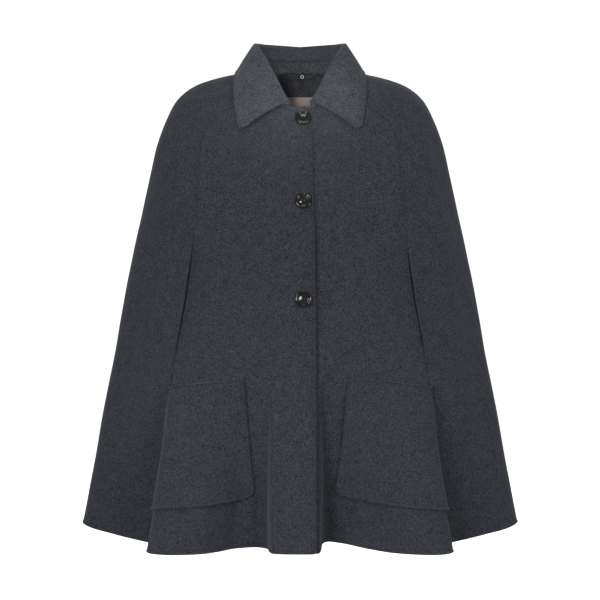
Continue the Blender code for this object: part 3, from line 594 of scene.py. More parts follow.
def part_seam(first, first_out, second, second_out, gaps):
    """Parts the last column of one panel from the first of the next, by the gap at each row."""
    shared = first_out[:, -1] + second_out[:, 0]
    shared /= np.linalg.norm(shared, axis=1, keepdims=True)
    along = np.gradient(first[:, -1], axis=0)
    for grid, out, edge, order in ((first, first_out, -1, -1), (second, second_out, 0, 1)):
        inside = grid[:, edge + order * SEAM_COLUMN]
        inward = np.cross(shared, along)
        inward /= np.linalg.norm(inward, axis=1, keepdims=True)
        flip = np.sign(((inside - grid[:, edge]) * inward).sum(axis=1))
        push = inward * flip[:, None] * gaps[:, None] / 2
        near = np.linalg.norm(grid - grid[:, edge][:, None], axis=2)
        fade = np.clip(1 - near / SEAM_FADE, 0, 1)
        grid += push[:, None, :] * fade[:, :, None]


def edge_distances(grid):
    """How far each point of a grid is from the first and last column and row, measured on the cloth."""
    across = np.linalg.norm(np.diff(grid, axis=1), axis=2)
    down = np.linalg.norm(np.diff(grid, axis=0), axis=2)
    zeros_across, zeros_down = np.zeros((grid.shape[0], 1)), np.zeros((1, grid.shape[1]))
    first = np.concatenate((zeros_across, np.cumsum(across, axis=1)), axis=1)
    top = np.concatenate((zeros_down, np.cumsum(down, axis=0)), axis=0)
    return {"first": first, "last": first[:, -1:] - first, "top": top, "bottom": top[-1:] - top}


def channel(distance):
    """The relief of the stitched channel beside a finished edge, with a little puff on its outer side."""
    groove = CHANNEL_DEPTH * np.exp(-(((distance - STITCH_CHANNEL) / CHANNEL_WIDTH) ** 2))
    puff = EDGE_PUFF * np.exp(-(((distance - STITCH_CHANNEL / 2) / (STITCH_CHANNEL / 2)) ** 2))
    return puff - groove


def rounded(distance, reach):
    """The share of a wall's half thickness that is left this near to its edge."""
    inner = np.clip(1 - distance / reach, 0, 1)
    return np.sqrt(np.clip(1 - inner**2, 0.02, 1))


def cloth_object(name, grid, outward, finished, sewn=(), thickness=CLOTH):
    """A soft wall of cloth: rounded edges all round, stitched channels and rolled seams.

    `finished` and `sewn` name edges among first, last, top and bottom, each with a mask by row or column.
    """
    distances = edge_distances(grid)
    half = np.full(grid.shape[:2], thickness / 2)
    sewn_share = dict(sewn)
    for edge, distance in distances.items():
        share = 1 - (1 - SEAM_ROUNDING) * sewn_share.get(edge, 0.0)
        half = half * (1 - (1 - rounded(distance, thickness / 2)) * share)
    raised = np.zeros(grid.shape[:2])
    for edge, mask in finished:
        raised = raised + channel(distances[edge]) * mask
    for edge, mask in sewn:
        raised = raised - SEAM_DEPTH * np.exp(-((distances[edge] / SEAM_ROLL) ** 2)) * mask
    outer = grid + outward * (half + raised)[:, :, None]
    sunk = np.minimum(raised, 0) * 0.5
    inner = grid - outward * (half + sunk)[:, :, None]
    return wall_object(name, outer, inner)


def new_object(name, data):
    """An object in the scene with this mesh, lamp or camera."""
    obj = bpy.data.objects.new(name, data)
    bpy.context.scene.collection.objects.link(obj)
    return obj


def finished_object(name, work):
    """A smooth object made from a mesh in the making."""
    bmesh.ops.recalc_face_normals(work, faces=work.faces)
    mesh = bpy.data.meshes.new(name)
    work.to_mesh(mesh)
    work.free()
    mesh.shade_smooth()
    return new_object(name, mesh)


def even_turns(sides):
    """Even turns round a circle, in radians."""
    return [2 * math.pi * k / sides for k in range(sides)]


def join_rings(work, rings, closed=False):
    """Faces from each ring of corners to the next; `closed` joins the last to the first too."""
    for upper, lower in zip(rings, rings[1:] + rings[:1] if closed else rings[1:]):
        for k in range(len(upper)):
            n = (k + 1) % len(upper)
            work.faces.new((upper[k], lower[k], lower[n], upper[n]))


def wall_object(name, outer, inner):
    """A closed wall between an outer and an inner grid of points."""
    rows, columns = outer.shape[:2]
    points = np.vstack((outer.reshape(-1, 3), inner.reshape(-1, 3))) * MM
    index = np.arange(rows * columns).reshape(rows, columns)
    a, b, c, d = index[:-1, :-1], index[1:, :-1], index[1:, 1:], index[:-1, 1:]
    skin = np.stack((a, b, c, d), axis=-1).reshape(-1, 4)
    under = skin[:, ::-1] + rows * columns
    border = np.concatenate((index[:, 0], index[-1, 1:], index[-2::-1, -1], index[0, -2:0:-1]))
    following = np.roll(border, -1)
    rim = np.stack((following, border, border + rows * columns, following + rows * columns), axis=-1)
    faces = np.concatenate((skin, under, rim))
    mesh = bpy.data.meshes.new(name)
    mesh.from_pydata(points.tolist(), [], faces.tolist())
    work = bmesh.new()
    work.from_mesh(mesh)
    bmesh.ops.recalc_face_normals(work, faces=work.faces)
    work.to_mesh(mesh)
    work.free()
    mesh.shade_smooth()
    return new_object(name, mesh)


@lru_cache(None)
def body_grids():
    """The middle points and the outward directions of the five panels, and their shares across."""
    levels = panel_levels()
    sources = {
        "front_right": (lambda level: front_row(RIGHT, level), FRONT_STEPS),
        "front_left": (lambda level: front_row(LEFT, level), FRONT_STEPS),
        "wing_right": (lambda level: wing_row(RIGHT, level), WING_STEPS),
        "wing_left": (lambda level: wing_row(LEFT, level), WING_STEPS),
        "back": (back_row, BACK_STEPS),
    }
    grids, shares = {}, {}
    for name, (row_at, count) in sources.items():
        grids[name], shares[name] = fine_panel(row_at, count, levels)
    for name in ("wing_right", "wing_left", "back"):
        outward = outward_of(grids[name])
        for i, level in enumerate(levels):
            raised = soft_relief(name, shares[name][i], level)
            grids[name][i] += outward[i] * raised[:, None]
    for side in ("right", "left"):
        gape_slit(grids[f"front_{side}"], levels, -PANEL_SINK, from_last=True)
        gape_slit(grids[f"wing_{side}"], levels, WING_LIFT, from_last=False)
    rounded_corner(grids["front_right"], HEM_CORNER, HEM_CORNER_REACH)
    outward = {name: outward_of(grid) for name, grid in grids.items()}
    for name, grid in grids.items():
        raised = crease_relief(name, shares[name], grid)
        fade = 1.0
        for edge, distance in edge_distances(grid).items():
            if edge in ("first", "last", "top"):
                fade = fade * smooth_step(distance / CREASE_FADE)
        grid += outward[name] * (raised * fade)[:, :, None]
    lap = edge_distances(grids["front_right"])["first"]
    lip = LAP_LIP * np.exp(-((lap / LAP_LIP_REACH) ** 2))
    grids["front_right"] += outward["front_right"] * lip[:, :, None]
    seam_gaps = np.full(len(levels), -SEAM_LAP)
    gapes = np.array([slit_gape(level) ** SLIT_GAP_SHARPNESS for level in levels])
    slit_gaps = seam_gaps + (SLIT_OPEN + SEAM_LAP) * gapes
    for side in ("right", "left"):
        front, wing = f"front_{side}", f"wing_{side}"
        part_seam(grids[front], outward[front], grids[wing], outward[wing], slit_gaps)
    part_seam(grids["wing_right"], outward["wing_right"], grids["back"], outward["back"], seam_gaps)
    flipped = grids["back"][:, ::-1], outward["back"][:, ::-1]
    part_seam(grids["wing_left"], outward["wing_left"], *flipped, seam_gaps)
    return grids, outward, shares


def collar_frame(angle):
    """The neckline point, the fold line point and the collar's edge point at an angle, in degrees."""
    turn = math.radians(angle)
    neck = ring_points(0, turn)
    below = ring_points(LAP_CORNER_LEVELS, turn)
    scale = table_value(ROLLS, "scale", angle, by="angle")
    roll = np.array((neck[0], neck[1] - section(0).side_y, 0.0)) * scale
    roll += (0, section(0).side_y, neck[2] + table_value(ROLLS, "height", angle, by="angle"))
    edge_level = table_value(LEAF_EDGE, "level", angle, by="angle")
    edge_turn = math.radians(table_value(LEAF_EDGE, "edge_angle", angle, by="angle"))
    edge = ring_points(edge_level, edge_turn) + LEAF_CLEARANCE * ring_normal(edge_level, edge_turn)
    return neck, unit(neck - below), roll, edge


def stand_column(angle):
    """The middle line of the collar's stand at an angle, from the neckline up."""
    neck, cloth_up, roll, _ = collar_frame(angle)
    up = unit(roll - neck)
    bend = math.sqrt(max(0.0, 1 - float(up @ cloth_up) ** 2))
    start = neck + up * (CLOTH / 2 * bend + COLLAR_SEAT)
    top = neck + (roll - neck) * table_value(ROLLS, "stand_share", angle, by="angle")
    top = top - up * COLLAR_SEAT / 2
    return [start + (top - start) * share for share in np.linspace(0, 1, STAND_STEPS + 1)]


def leaf_column(angle, front_distance):
    """The collar's middle line at an angle: up from the stand, over the fold and down to the edge."""
    neck, _, roll, edge = collar_frame(angle)
    start = neck + (roll - neck) * table_value(ROLLS, "stand_share", angle, by="angle")
    start = start + unit(roll - neck) * COLLAR_SEAT / 2
    radius = table_value(ROLLS, "radius", angle, by="angle")
    fall = unit(edge - roll)
    inwards = unit(unit(start - roll) + fall)
    across = unit(fall - (fall @ inwards) * inwards)
    centre = roll + radius * inwards
    turns = np.linspace(-math.pi / 2, math.pi / 2, ROLL_ARC_STEPS + 1)
    arc = [centre + radius * (math.sin(t) * across - math.cos(t) * inwards) for t in turns]
    cut_back = 0.0
    if front_distance < LEAF_CORNER:
        cut_back = LEAF_CORNER - math.sqrt(LEAF_CORNER**2 - (LEAF_CORNER - front_distance) ** 2)
    chord = edge - arc[-1]
    length = np.linalg.norm(chord)
    proud = unit(across - (across @ unit(chord)) * unit(chord))
    reach = 1 - cut_back / length
    close = [reach - step / length for step in reversed(EDGE_STEPS)]
    shares = [*np.linspace(0, close[0], LEAF_FALL_STEPS + 1)[1:-1], *close]
    bulge = table_value(ROLLS, "bulge", angle, by="angle")
    falls = [arc[-1] + chord * share + proud * bulge * 4 * share * (1 - share) for share in shares]
    rise = [start + (arc[0] - start) * share for share in np.linspace(0, 1, LEAF_RISE_STEPS + 1)[:-1]]
    return [*rise, *arc, *falls]


def collar_angles():
    """Angles round the collar from its front end, close together near the end."""
    even = np.linspace(0, 1, COLLAR_STEPS + 1)
    return COLLAR_START + (180 - COLLAR_START) * even**COLLAR_CLOSENESS


def collar_grid(columns, last):
    left = np.array(columns)
    right = left * np.array((-1, 1, 1))
    return np.concatenate((right, np.array([last]), left[::-1]))


def finished_piece(obj, kind):
    """Gives a piece its material and lets it ride with the cape."""
    obj.data.materials.clear()
    obj.data.materials.append(finish(kind))
    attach(obj, "root")
    return obj


def cut_size(grid):
    """The flat cut of a panel in metres: its widest row, its longest column and its area."""
    across = np.linalg.norm(np.diff(grid, axis=1), axis=2).sum(axis=1).max() * MM
    down = np.linalg.norm(np.diff(grid, axis=0), axis=2).sum(axis=0).max() * MM
    first, second = grid[1:, 1:] - grid[:-1, :-1], grid[1:, :-1] - grid[:-1, 1:]
    area = np.linalg.norm(np.cross(first, second), axis=2).sum() / 2 * MM * MM
    return (round(float(across), 3), round(float(down), 3)), round(float(area), 4)


def sewn_panel(node, grid, outward, slot_name, finished, sewn=(), stitched=(), thickness=CLOTH):
    """A cloth panel that stands for a node, with its hand stitches; the flat cut of its sheet is worked out
    and not used.
    """
    piece = cloth_object(f"{node}_cloth", grid, outward, finished, sewn, thickness)
    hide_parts(node)
    finished_piece(piece, slot_name)
    threads = []
    if stitched:
        threads.append(stitch_row(f"{node}_stitches", grid, outward, stitched))
        finished_piece(threads[0], "thread")
    flat, area = cut_size(grid)


def channel_line(grid, outward, edge):
    """The bottom of the stitched channel along an edge, with the way out of the cloth at each point."""
    if edge in ("top", "bottom"):
        grid, outward = grid.transpose(1, 0, 2), outward.transpose(1, 0, 2)
    if edge in ("last", "bottom"):
        grid, outward = grid[:, ::-1], outward[:, ::-1]
    line, ways = [], []
    for row, way in zip(grid, outward):
        row = row[:CHANNEL_COLUMNS]
        run = lengths_along(row)
        line.append([np.interp(STITCH_CHANNEL, run, row[:, axis]) for axis in range(3)])
        ways.append(way[int(np.searchsorted(run, STITCH_CHANNEL))])
    line, ways = np.array(line), np.array(ways)
    return line + ways * (CLOTH / 2 - CHANNEL_DEPTH + STITCH_RADIUS * 0.35), ways


def stitch_row(name, grid, outward, edges):
    """Short hand stitches that lie in the channels of the named edges, as one mesh."""
    work = bmesh.new()
    for edge, (start, end) in edges:
        line, ways = channel_line(grid, outward, edge)
        run = lengths_along(line)
        count = int(run[-1] * (end - start) / STITCH_PITCH)
        for number in range(count):
            middle = run[-1] * start + (number + 0.5) * STITCH_PITCH
            length = STITCH_LENGTH * (1 + 0.12 * math.sin(number * 2.4))
            ends = (middle - length / 2, middle + length / 2)
            if ends[0] < STITCH_CHANNEL or ends[1] > run[-1] - STITCH_CHANNEL:
                continue
            path = [[np.interp(at, run, line[:, axis]) for axis in range(3)] for at in np.linspace(*ends, 5)]
            way = ways[int(np.searchsorted(run, middle))]
            dips = (-0.30, 0.0, 0.08, 0.0, -0.30)
            path = [np.array(point) + way * dip for point, dip in zip(path, dips)]
            add_tube(work, path, STITCH_RADIUS, 6, way)
    return finished_object(name, work)


def rounded_corner(grid, radius, reach):
    """Rounds the corner between a panel's first column and its hem."""
    bottom = grid[-1].copy()
    along = lengths_along(bottom)
    cut = radius * (1 - np.sqrt(1 - np.clip(1 - along / radius, 0, 1) ** 2))
    for i in range(len(grid)):
        rise = grid[i] - bottom
        weight = np.clip(1 - np.linalg.norm(rise, axis=1) / reach, 0, 1)
        grid[i, :, 2] += cut * weight


class Socket:
    """A shader output that takes part in plain arithmetic."""

    def __init__(self, builder, output):
        self.builder = builder
        self.output = output

    def math(self, operation, *others):
        return self.builder.node("ShaderNodeMath", {"operation": operation}, [self, *others])

    def __add__(self, other):
        return self.math("ADD", other)

    def __sub__(self, other):
        return self.math("SUBTRACT", other)

    def __mul__(self, other):
        return self.math("MULTIPLY", other)

    def __rsub__(self, other):
        return self.builder.node("ShaderNodeMath", {"operation": "SUBTRACT"}, [other, self])

    __radd__ = __add__
    __rmul__ = __mul__


class MaterialBuilder:
    """Adds nodes to one material and wires them up."""

    def __init__(self, name):
        self.material = bpy.data.materials.new(name)
        self.material.use_nodes = True
        self.tree = self.material.node_tree
        self.shader = self.tree.nodes["Principled BSDF"]

    def node(self, kind, settings=None, values=None, output=0):
        made = self.tree.nodes.new(kind)
        for key, value in (settings or {}).items():
            setattr(made, key, value)
        entries = values.items() if isinstance(values, dict) else enumerate(values or ())
        for key, value in entries:
            self.feed(made.inputs[key], value)
        return Socket(self, made.outputs[output])

    def feed(self, target, value):
        if isinstance(value, Socket):
            self.tree.links.new(value.output, target)
        else:
            target.default_value = value

    def place(self, stretch=(1.0, 1.0, 1.0)):
        """The place on the object in metres, stretched along each axis."""
        here = self.node("ShaderNodeTexCoord", output="Object")
        return self.node("ShaderNodeVectorMath", {"operation": "MULTIPLY"}, [here, stretch])

    def noise(self, place, size, detail=2.0, rough=0.5, distortion=0.0):
        """Noise with features of about this size, in millimetres."""
        values = {
            "Vector": place,
            "Scale": 1 / (size * MM),
            "Detail": detail,
            "Roughness": rough,
            "Distortion": distortion,
        }
        return self.node("ShaderNodeTexNoise", None, values)

    def band(self, value, low, high):
        """0 below low, 1 above high and smooth between them."""
        values = {"Value": value, "From Min": low, "From Max": high}
        return self.node("ShaderNodeMapRange", {"interpolation_type": "SMOOTHSTEP"}, values)

    def mix(self, factor, first, second):
        made = self.tree.nodes.new("ShaderNodeMix")
        made.data_type = "RGBA"
        self.feed(made.inputs["Factor"], factor)
        self.feed(made.inputs["A"], colour(first))
        self.feed(made.inputs["B"], colour(second))
        return Socket(self, made.outputs["Result"])

    def scale_colour(self, tone, factor):
        return self.node("ShaderNodeVectorMath", {"operation": "SCALE"}, {"Vector": tone, "Scale": factor})

    def bump(self, height, distance, strength):
        values = {"Height": height, "Distance": distance * MM, "Strength": strength}
        return self.node("ShaderNodeBump", None, values)

    def fix(self, **values):
        """Plain numbers and colours on the shader's own sockets, by the socket's name."""
        for key, value in values.items():
            self.shader.inputs[key.replace("_", " ")].default_value = value

    def set(self, **values):
        for key, value in values.items():
            self.feed(self.shader.inputs[key.replace("_", " ").title()], value)


def colour(value):
    """A colour socket's value from three numbers; a wired socket stays as it is."""
    return value if isinstance(value, Socket) else (*value[:3], 1.0)


def wool_material(name, tone):
    """Brushed wool melange: dark and light fibres mixed, a soft nap and a faint sheen."""
    m = MaterialBuilder(name)
    here = m.place()
    combed = m.place((1.0, 1.0, 0.8))
    blotch = m.band(m.noise(here, 14.0, 2.0, 0.55), 0.36, 0.64)
    mottle = m.band(m.noise(combed, 3.2, 3.0, 0.62, 0.3), 0.34, 0.66)
    grain = m.band(m.noise(combed, 1.3, 2.0, 0.8), 0.30, 0.68)
    fibre = m.noise(m.place((1.0, 1.0, 0.3)), 0.45, 2.0, 0.7)
    cast = m.band(m.noise(here, 6.5, 3.0, 0.6), 0.36, 0.64)
    cool = (tone[0] * 0.96, tone[1] * 1.01, tone[2] * 1.04)
    warm = (tone[0] * 1.04, tone[1] * 0.99, tone[2] * 0.97)
    shade = 1.50 * grain + 0.36 * mottle + 0.14 * blotch + 0.5 * (fibre - 0.5)
    shaded = m.scale_colour(m.mix(cast, cool, warm), shade)
    light = m.band(m.noise(combed, 1.6, 1.0, 0.5, 0.4), 0.60, 0.72)
    pale = [min(1.0, part * 2.0) for part in tone]
    m.set(base_color=m.mix(light * 0.4, shaded, pale))
    m.set(roughness=0.86 + 0.12 * mottle)
    m.set(normal=m.bump(0.35 * mottle + 0.45 * grain + 0.2 * fibre, NAP_HEIGHT, 0.6))
    m.fix(Sheen_Weight=0.22, Sheen_Roughness=0.5, Sheen_Tint=(0.50, 0.56, 0.62, 1.0))
    m.fix(Specular_IOR_Level=0.12)
    return m.material


def resin_material(name, tone):
    """Polished dark resin with faint clouding and fine rubbed marks."""
    m = MaterialBuilder(name)
    here = m.place()
    cloud = m.noise(here, 6.0, 3.0, 0.6, 0.8)
    rubbed = m.noise(m.place((1.0, 1.0, 6.0)), 0.8, 2.0, 0.6)
    m.set(base_color=m.mix(cloud, tone, [part * 1.6 for part in tone]))
    m.set(roughness=0.04 + 0.05 * rubbed)
    m.set(normal=m.bump(cloud * 0.5 + rubbed * 0.2, 0.05, 0.2))
    m.fix(Specular_IOR_Level=0.5, Coat_Weight=0.35, Coat_Roughness=0.03)
    return m.material


def satin_material(name, tone):
    """Plain woven satin, smooth across and faintly ribbed."""
    m = MaterialBuilder(name)
    values = {"Vector": m.place(), "Scale": 380.0, "Distortion": 0.6}
    rib = m.node("ShaderNodeTexWave", {"bands_direction": "Z"}, values, output="Fac")
    slubs = m.noise(m.place((0.25, 1.0, 1.0)), 1.2, 3.0, 0.6)
    dull, bright = [part * 0.82 for part in tone], [min(1.0, part * 1.2) for part in tone]
    m.set(base_color=m.mix(slubs, dull, bright))
    m.set(roughness=0.34 + 0.14 * slubs)
    m.set(normal=m.bump(rib * 0.6 + slubs * 0.4, 0.06, 0.4))
    m.fix(Anisotropic=0.4)
    return m.material


def thread_material(name, tone):
    """Twisted thread."""
    m = MaterialBuilder(name)
    twist = m.noise(m.place((1.0, 1.0, 0.4)), 0.35, 2.0, 0.6)
    dull, bright = [part * 0.7 for part in tone], [min(1.0, part * 1.5) for part in tone]
    m.set(base_color=m.mix(twist, dull, bright))
    m.set(roughness=0.6 + 0.2 * twist)
    m.set(normal=m.bump(twist, 0.08, 0.5))
    return m.material


def floor_material(name, tone):
    """The pale studio floor, with the faintest unevenness of paint."""
    m = MaterialBuilder(name)
    paint = m.noise(m.place(), 180.0, 3.0, 0.5)
    painted = m.mix(paint, [part * 0.99 for part in tone], tone)
    m.set(base_color=painted, emission_color=painted, roughness=0.8 + 0.1 * paint)
    m.fix(Emission_Strength=FLOOR_GLOW)
    return m.material


def finish(kind):
    """The material of one kind, made once and shared by its pieces."""
    name = f"{kind}_finish"
    made = bpy.data.materials.get(name)
    if made:
        return made
    colours = bpy.context.scene.cape_colours
    makers = {
        "wool": (wool_material, colours.wool),
        # Painted light: the collar's wool is the body's wool in a lighter tone, painting the extra light that
        # the upturned collar and its turned nap catch
        "collar_wool": (wool_material, colours.collar_wool),
        "button_black": (resin_material, colours.button),
        "fitting": (resin_material, colours.fitting),
        # Painted highlight: a pale ring on the fitting's dark cap stands for the light reflected by its
        # glossy rim
        "pale_ring": (resin_material, colours.ring),
        "satin": (satin_material, colours.label),
        "thread": (thread_material, colours.thread),
        "studio_floor": (floor_material, colours.floor),
    }
    make, tone = makers[kind]
    return make(name, tone)


class CapeColours(bpy.types.PropertyGroup):
    wool: FloatVectorProperty(
        name="Wool", description="Cloth of the body", subtype="COLOR", default=(0.0385, 0.0412, 0.0500)
    )
    # Painted light: the body's wool made lighter, painting the light that falls on the upturned collar and
    # its turned nap
    collar_wool: FloatVectorProperty(
        name="Collar wool", description="Cloth of the collar", subtype="COLOR", default=(0.051, 0.055, 0.0645)
    )
    button: FloatVectorProperty(
        name="Buttons", description="Resin of the buttons", subtype="COLOR", default=(0.002, 0.002, 0.0025)
    )
    label: FloatVectorProperty(
        name="Label", description="Satin of the neck label", subtype="COLOR", default=(0.42, 0.375, 0.345)
    )
    fitting: FloatVectorProperty(
        name="Fitting", description="Neck fitting", subtype="COLOR", default=(0.004, 0.004, 0.004)
    )
    # Painted highlight: the colour of the pale ring that stands for the light reflected by the fitting's
    # glossy rim
    ring: FloatVectorProperty(
        name="Ring", description="Pale ring of the fitting", subtype="COLOR", default=(0.72, 0.72, 0.74)
    )
    thread: FloatVectorProperty(
        name="Thread", description="Sewing thread", subtype="COLOR", default=(0.020, 0.021, 0.024)
    )
    floor: FloatVectorProperty(
        name="Floor", description="Studio floor", subtype="COLOR", default=(0.93, 0.93, 0.93)
    )


class CapeSizes(bpy.types.PropertyGroup):
    button_sides: IntProperty(
        name="Button sides", description="Steps round a button", default=BUTTON_SIDES, min=24, max=160
    )
    key_power: FloatProperty(
        name="Key light", description="Power of the key light in watts", default=20.0, min=0.0
    )
    spot_power: FloatProperty(
        name="Spots", description="Power of the narrow lamps in watts", default=0.1, min=0.0
    )
    fill_power: FloatProperty(
        name="Fill light", description="Power of each fill light in watts", default=9.0, min=0.0
    )


def slit_rows(levels):
    """A column by row: 1 where the arm slit is, 0 where the seam is sewn and smooth between them."""
    levels = np.array(levels)
    below_top = smooth_step((levels - SLIT_TOP) / SLIT_FINISH_LEVELS)
    above_bottom = smooth_step((SLIT_BOTTOM - levels) / SLIT_FINISH_LEVELS)
    return (below_top * above_bottom)[:, None]


class BuildFronts(bpy.types.Operator):
    """Make the two front panels"""

    bl_idname = "cape.fronts"
    bl_label = "Fronts"

    def execute(self, context):
        grids, outward, _ = body_grids()
        levels = panel_levels()
        for side in ("right", "left"):
            name = f"front_{side}"
            slit = slit_rows(levels)
            sewn_panel(
                name,
                grids[name],
                outward[name],
                "wool",
                finished=(("first", 1.9), ("bottom", 1.0), ("last", slit)),
                sewn=(("last", 1 - slit),),
                stitched=(("first", (0.0, 1.0)), ("bottom", (0.0, 1.0))),
            )
        return {"FINISHED"}


class BuildWings(bpy.types.Operator):
    """Make the two raglan side panels"""

    bl_idname = "cape.wings"
    bl_label = "Wings"

    def execute(self, context):
        grids, outward, _ = body_grids()
        levels = panel_levels()
        slit = slit_rows(levels)
        for side in ("right", "left"):
            name = f"wing_{side}"
            sewn_panel(
                name,
                grids[name],
                outward[name],
                "wool",
                finished=(("bottom", 1.0), ("first", 1.2 + 0.2 * slit)),
                sewn=(("last", 1.0), ("first", 0.8 * (1 - slit))),
                stitched=(("first", (0.0, 1.0)), ("bottom", (0.0, 1.0)), ("last", (0.0, 1.0))),
            )
        return {"FINISHED"}


class BuildBack(bpy.types.Operator):
    """Make the back panel"""

    bl_idname = "cape.back"
    bl_label = "Back"

    def execute(self, context):
        grids, outward, _ = body_grids()
        sewn_panel(
            "back",
            grids["back"],
            outward["back"],
            "wool",
            finished=(("bottom", 1.0),),
            sewn=(("first", 1.0), ("last", 1.0)),
            stitched=(("bottom", (0.0, 1.0)),),
        )
        return {"FINISHED"}


class BuildCollar(bpy.types.Operator):
    """Make the collar's stand and its turned-down leaf"""

    bl_idname = "cape.collar"
    bl_label = "Collar"

    def execute(self, context):
        angles = collar_angles()
        edges = [collar_frame(angle)[3] for angle in angles]
        stand = collar_grid([stand_column(angle) for angle in angles[:-1]], stand_column(180))
        columns = [leaf_column(a, np.linalg.norm(e - edges[0])) for a, e in zip(angles[:-1], edges)]
        leaf = collar_grid(columns, leaf_column(180, LEAF_CORNER))
        ends = (("top", 1.0), ("bottom", 1.0))
        # The collar's pieces take the lighter copy of the wool, which paints the light falling on the collar
        sewn_panel("collar_stand", stand, grid_normals(stand), "collar_wool", finished=ends)
        around = (("top", (0.0, 1.0)), ("bottom", (0.0, 1.0)), ("last", (0.0, 1.0)), ("first", (0.0, 1.0)))
        sewn_panel(
            "collar_leaf",
            leaf,
            grid_normals(leaf),
            "collar_wool",
            finished=(*ends, ("last", 1.0), ("first", 0.6)),
            stitched=around,
        )
        return {"FINISHED"}


def front_lookup(side):
    """The fine grid of a front as arrays to search by distance out and height."""
    grids, outward, _ = body_grids()
    name = f"front_{SIDE_NAMES[side]}"
    return grids[name], outward[name]


def on_grid(grid, outward, row, column):
    """The point and the outward direction at a fractional place on a grid."""
    i = min(int(row), grid.shape[0] - 2)
    j = min(int(column), grid.shape[1] - 2)
    down, across = row - i, column - j
    result = []
    for values in (grid, outward):
        upper = values[i, j] * (1 - across) + values[i, j + 1] * across
        lower = values[i + 1, j] * (1 - across) + values[i + 1, j + 1] * across
        result.append(upper * (1 - down) + lower * down)
    return result[0], unit(result[1])


def row_at_height(grid, column, z):
    """The fractional row at which a fractional column is at a height."""
    j = min(int(column), grid.shape[1] - 2)
    across = column - j
    heights = grid[:, j, 2] * (1 - across) + grid[:, j + 1, 2] * across
    return float(np.interp(-z, -heights, np.arange(len(heights))))


def column_at_place(grid, out, z):
    """The fractional column that is this far out from the middle at a height."""
    low, high = float(SEARCH_FIRST), float(grid.shape[1] - SEARCH_LAST)
    for _ in range(30):
        column = (low + high) / 2
        row = row_at_height(grid, column, z)
        point = on_grid(grid, grid, row, column)[0]
        if abs(point[0]) < out:
            low = column
        else:
            high = column
    return (low + high) / 2


class BuildPockets(bpy.types.Operator):
    """Make the two patch pockets on the fronts"""

    bl_idname = "cape.pockets"
    bl_label = "Pockets"

    def execute(self, context):
        for pocket in POCKETS:
            grid, outward = front_lookup(pocket.side)
            last = self.last_column(grid, pocket.side)
            top_first = column_at_place(grid, pocket.top_in, pocket.top_in_z)
            bottom_first = column_at_place(grid, pocket.bottom_in, pocket.bottom_in_z)
            height = pocket.top_in_z - pocket.bottom_in_z
            downs = steps_across(height, POCKET_STEPS)
            points, normals = [], []
            for down in downs:
                first = top_first + (bottom_first - top_first) * down
                row_points, row_normals = [], []
                for across in steps_across(POCKET_WIDTH, POCKET_STEPS):
                    column = first + (last - first) * across
                    top_z = pocket.top_in_z + (pocket.top_out_z - pocket.top_in_z) * across
                    bottom_z = pocket.bottom_in_z + (pocket.bottom_out_z - pocket.bottom_in_z) * across
                    to_corner = max(0.0, 1 - across * POCKET_WIDTH / POCKET_CORNER)
                    bottom_z += POCKET_CORNER * (1 - math.sqrt(1 - to_corner**2))
                    row = row_at_height(grid, column, top_z + (bottom_z - top_z) * down)
                    point, normal = on_grid(grid, outward, row, column)
                    lift = POCKET_SAG * math.sin(math.pi * across) * (1 - down) ** 2
                    row_points.append(point + normal * (CLOTH + POCKET_GAP - POCKET_SINK + lift))
                    row_normals.append(normal)
                points.append(row_points)
                normals.append(row_normals)
            points, normals = np.array(points), np.array(normals)
            near = np.min(list(edge_distances(points).values()), axis=0)
            lift = POCKET_EDGE_LIFT * np.exp(-((near / POCKET_EDGE_REACH) ** 2))
            points += normals * lift[:, :, None]
            edges = ("first", "last", "top", "bottom")
            sewn_panel(
                pocket.name,
                points,
                normals,
                "wool",
                finished=tuple((edge, 1.3) for edge in edges),
                stitched=tuple((edge, (0.0, 1.0)) for edge in edges),
            )
        return {"FINISHED"}

    def last_column(self, grid, side):
        """The fine column where the pocket's outer side is sewn, near the fold turn."""
        place = np.searchsorted(front_columns(side), len(HEMS[side]) - POCKET_SIDE_ROWS)
        share = front_shares(side)[place]
        _, _, shares = body_grids()
        mid = shares[f"front_{SIDE_NAMES[side]}"][len(grid) // 2]
        return float(np.interp(share, mid, np.arange(grid.shape[1])))


def facing(point, outward):
    """A placing matrix with its own Z along `outward`, at a point given in millimetres."""
    z = Vector(outward).normalized()
    x = Vector((0, 0, 1)).cross(z).normalized()
    turn = Matrix((x, z.cross(x), z)).transposed().to_4x4()
    return Matrix.Translation(Vector(point) * MM) @ turn


def turned_mesh(name, profile, sides):
    """A turned closed mesh from (distance from the middle, height) pairs, first and last on the axis."""
    work = bmesh.new()
    top = work.verts.new((0, 0, profile[0][1] * MM))
    bottom = work.verts.new((0, 0, profile[-1][1] * MM))
    rings = []
    for radius, height in profile[1:-1]:
        corners = [(radius * math.cos(t), radius * math.sin(t), height) for t in even_turns(sides)]
        rings.append([work.verts.new(Vector(corner) * MM) for corner in corners])
    for k in range(sides):
        n = (k + 1) % sides
        work.faces.new((top, rings[0][k], rings[0][n]))
        work.faces.new((bottom, rings[-1][n], rings[-1][k]))
    join_rings(work, rings)
    bmesh.ops.recalc_face_normals(work, faces=work.faces)
    mesh = bpy.data.meshes.new(name)
    work.to_mesh(mesh)
    work.free()
    mesh.shade_smooth()
    return mesh


def smooth_profile(points, steps):
    """A finer profile through the given points, smooth in both columns."""
    places = list(range(len(points)))
    at = np.linspace(0, len(points) - 1, steps)
    radii = [smooth_curve(places, [p.from_middle for p in points], a) for a in at]
    heights = [smooth_curve(places, [p.height for p in points], a) for a in at]
    return list(zip(radii, heights))


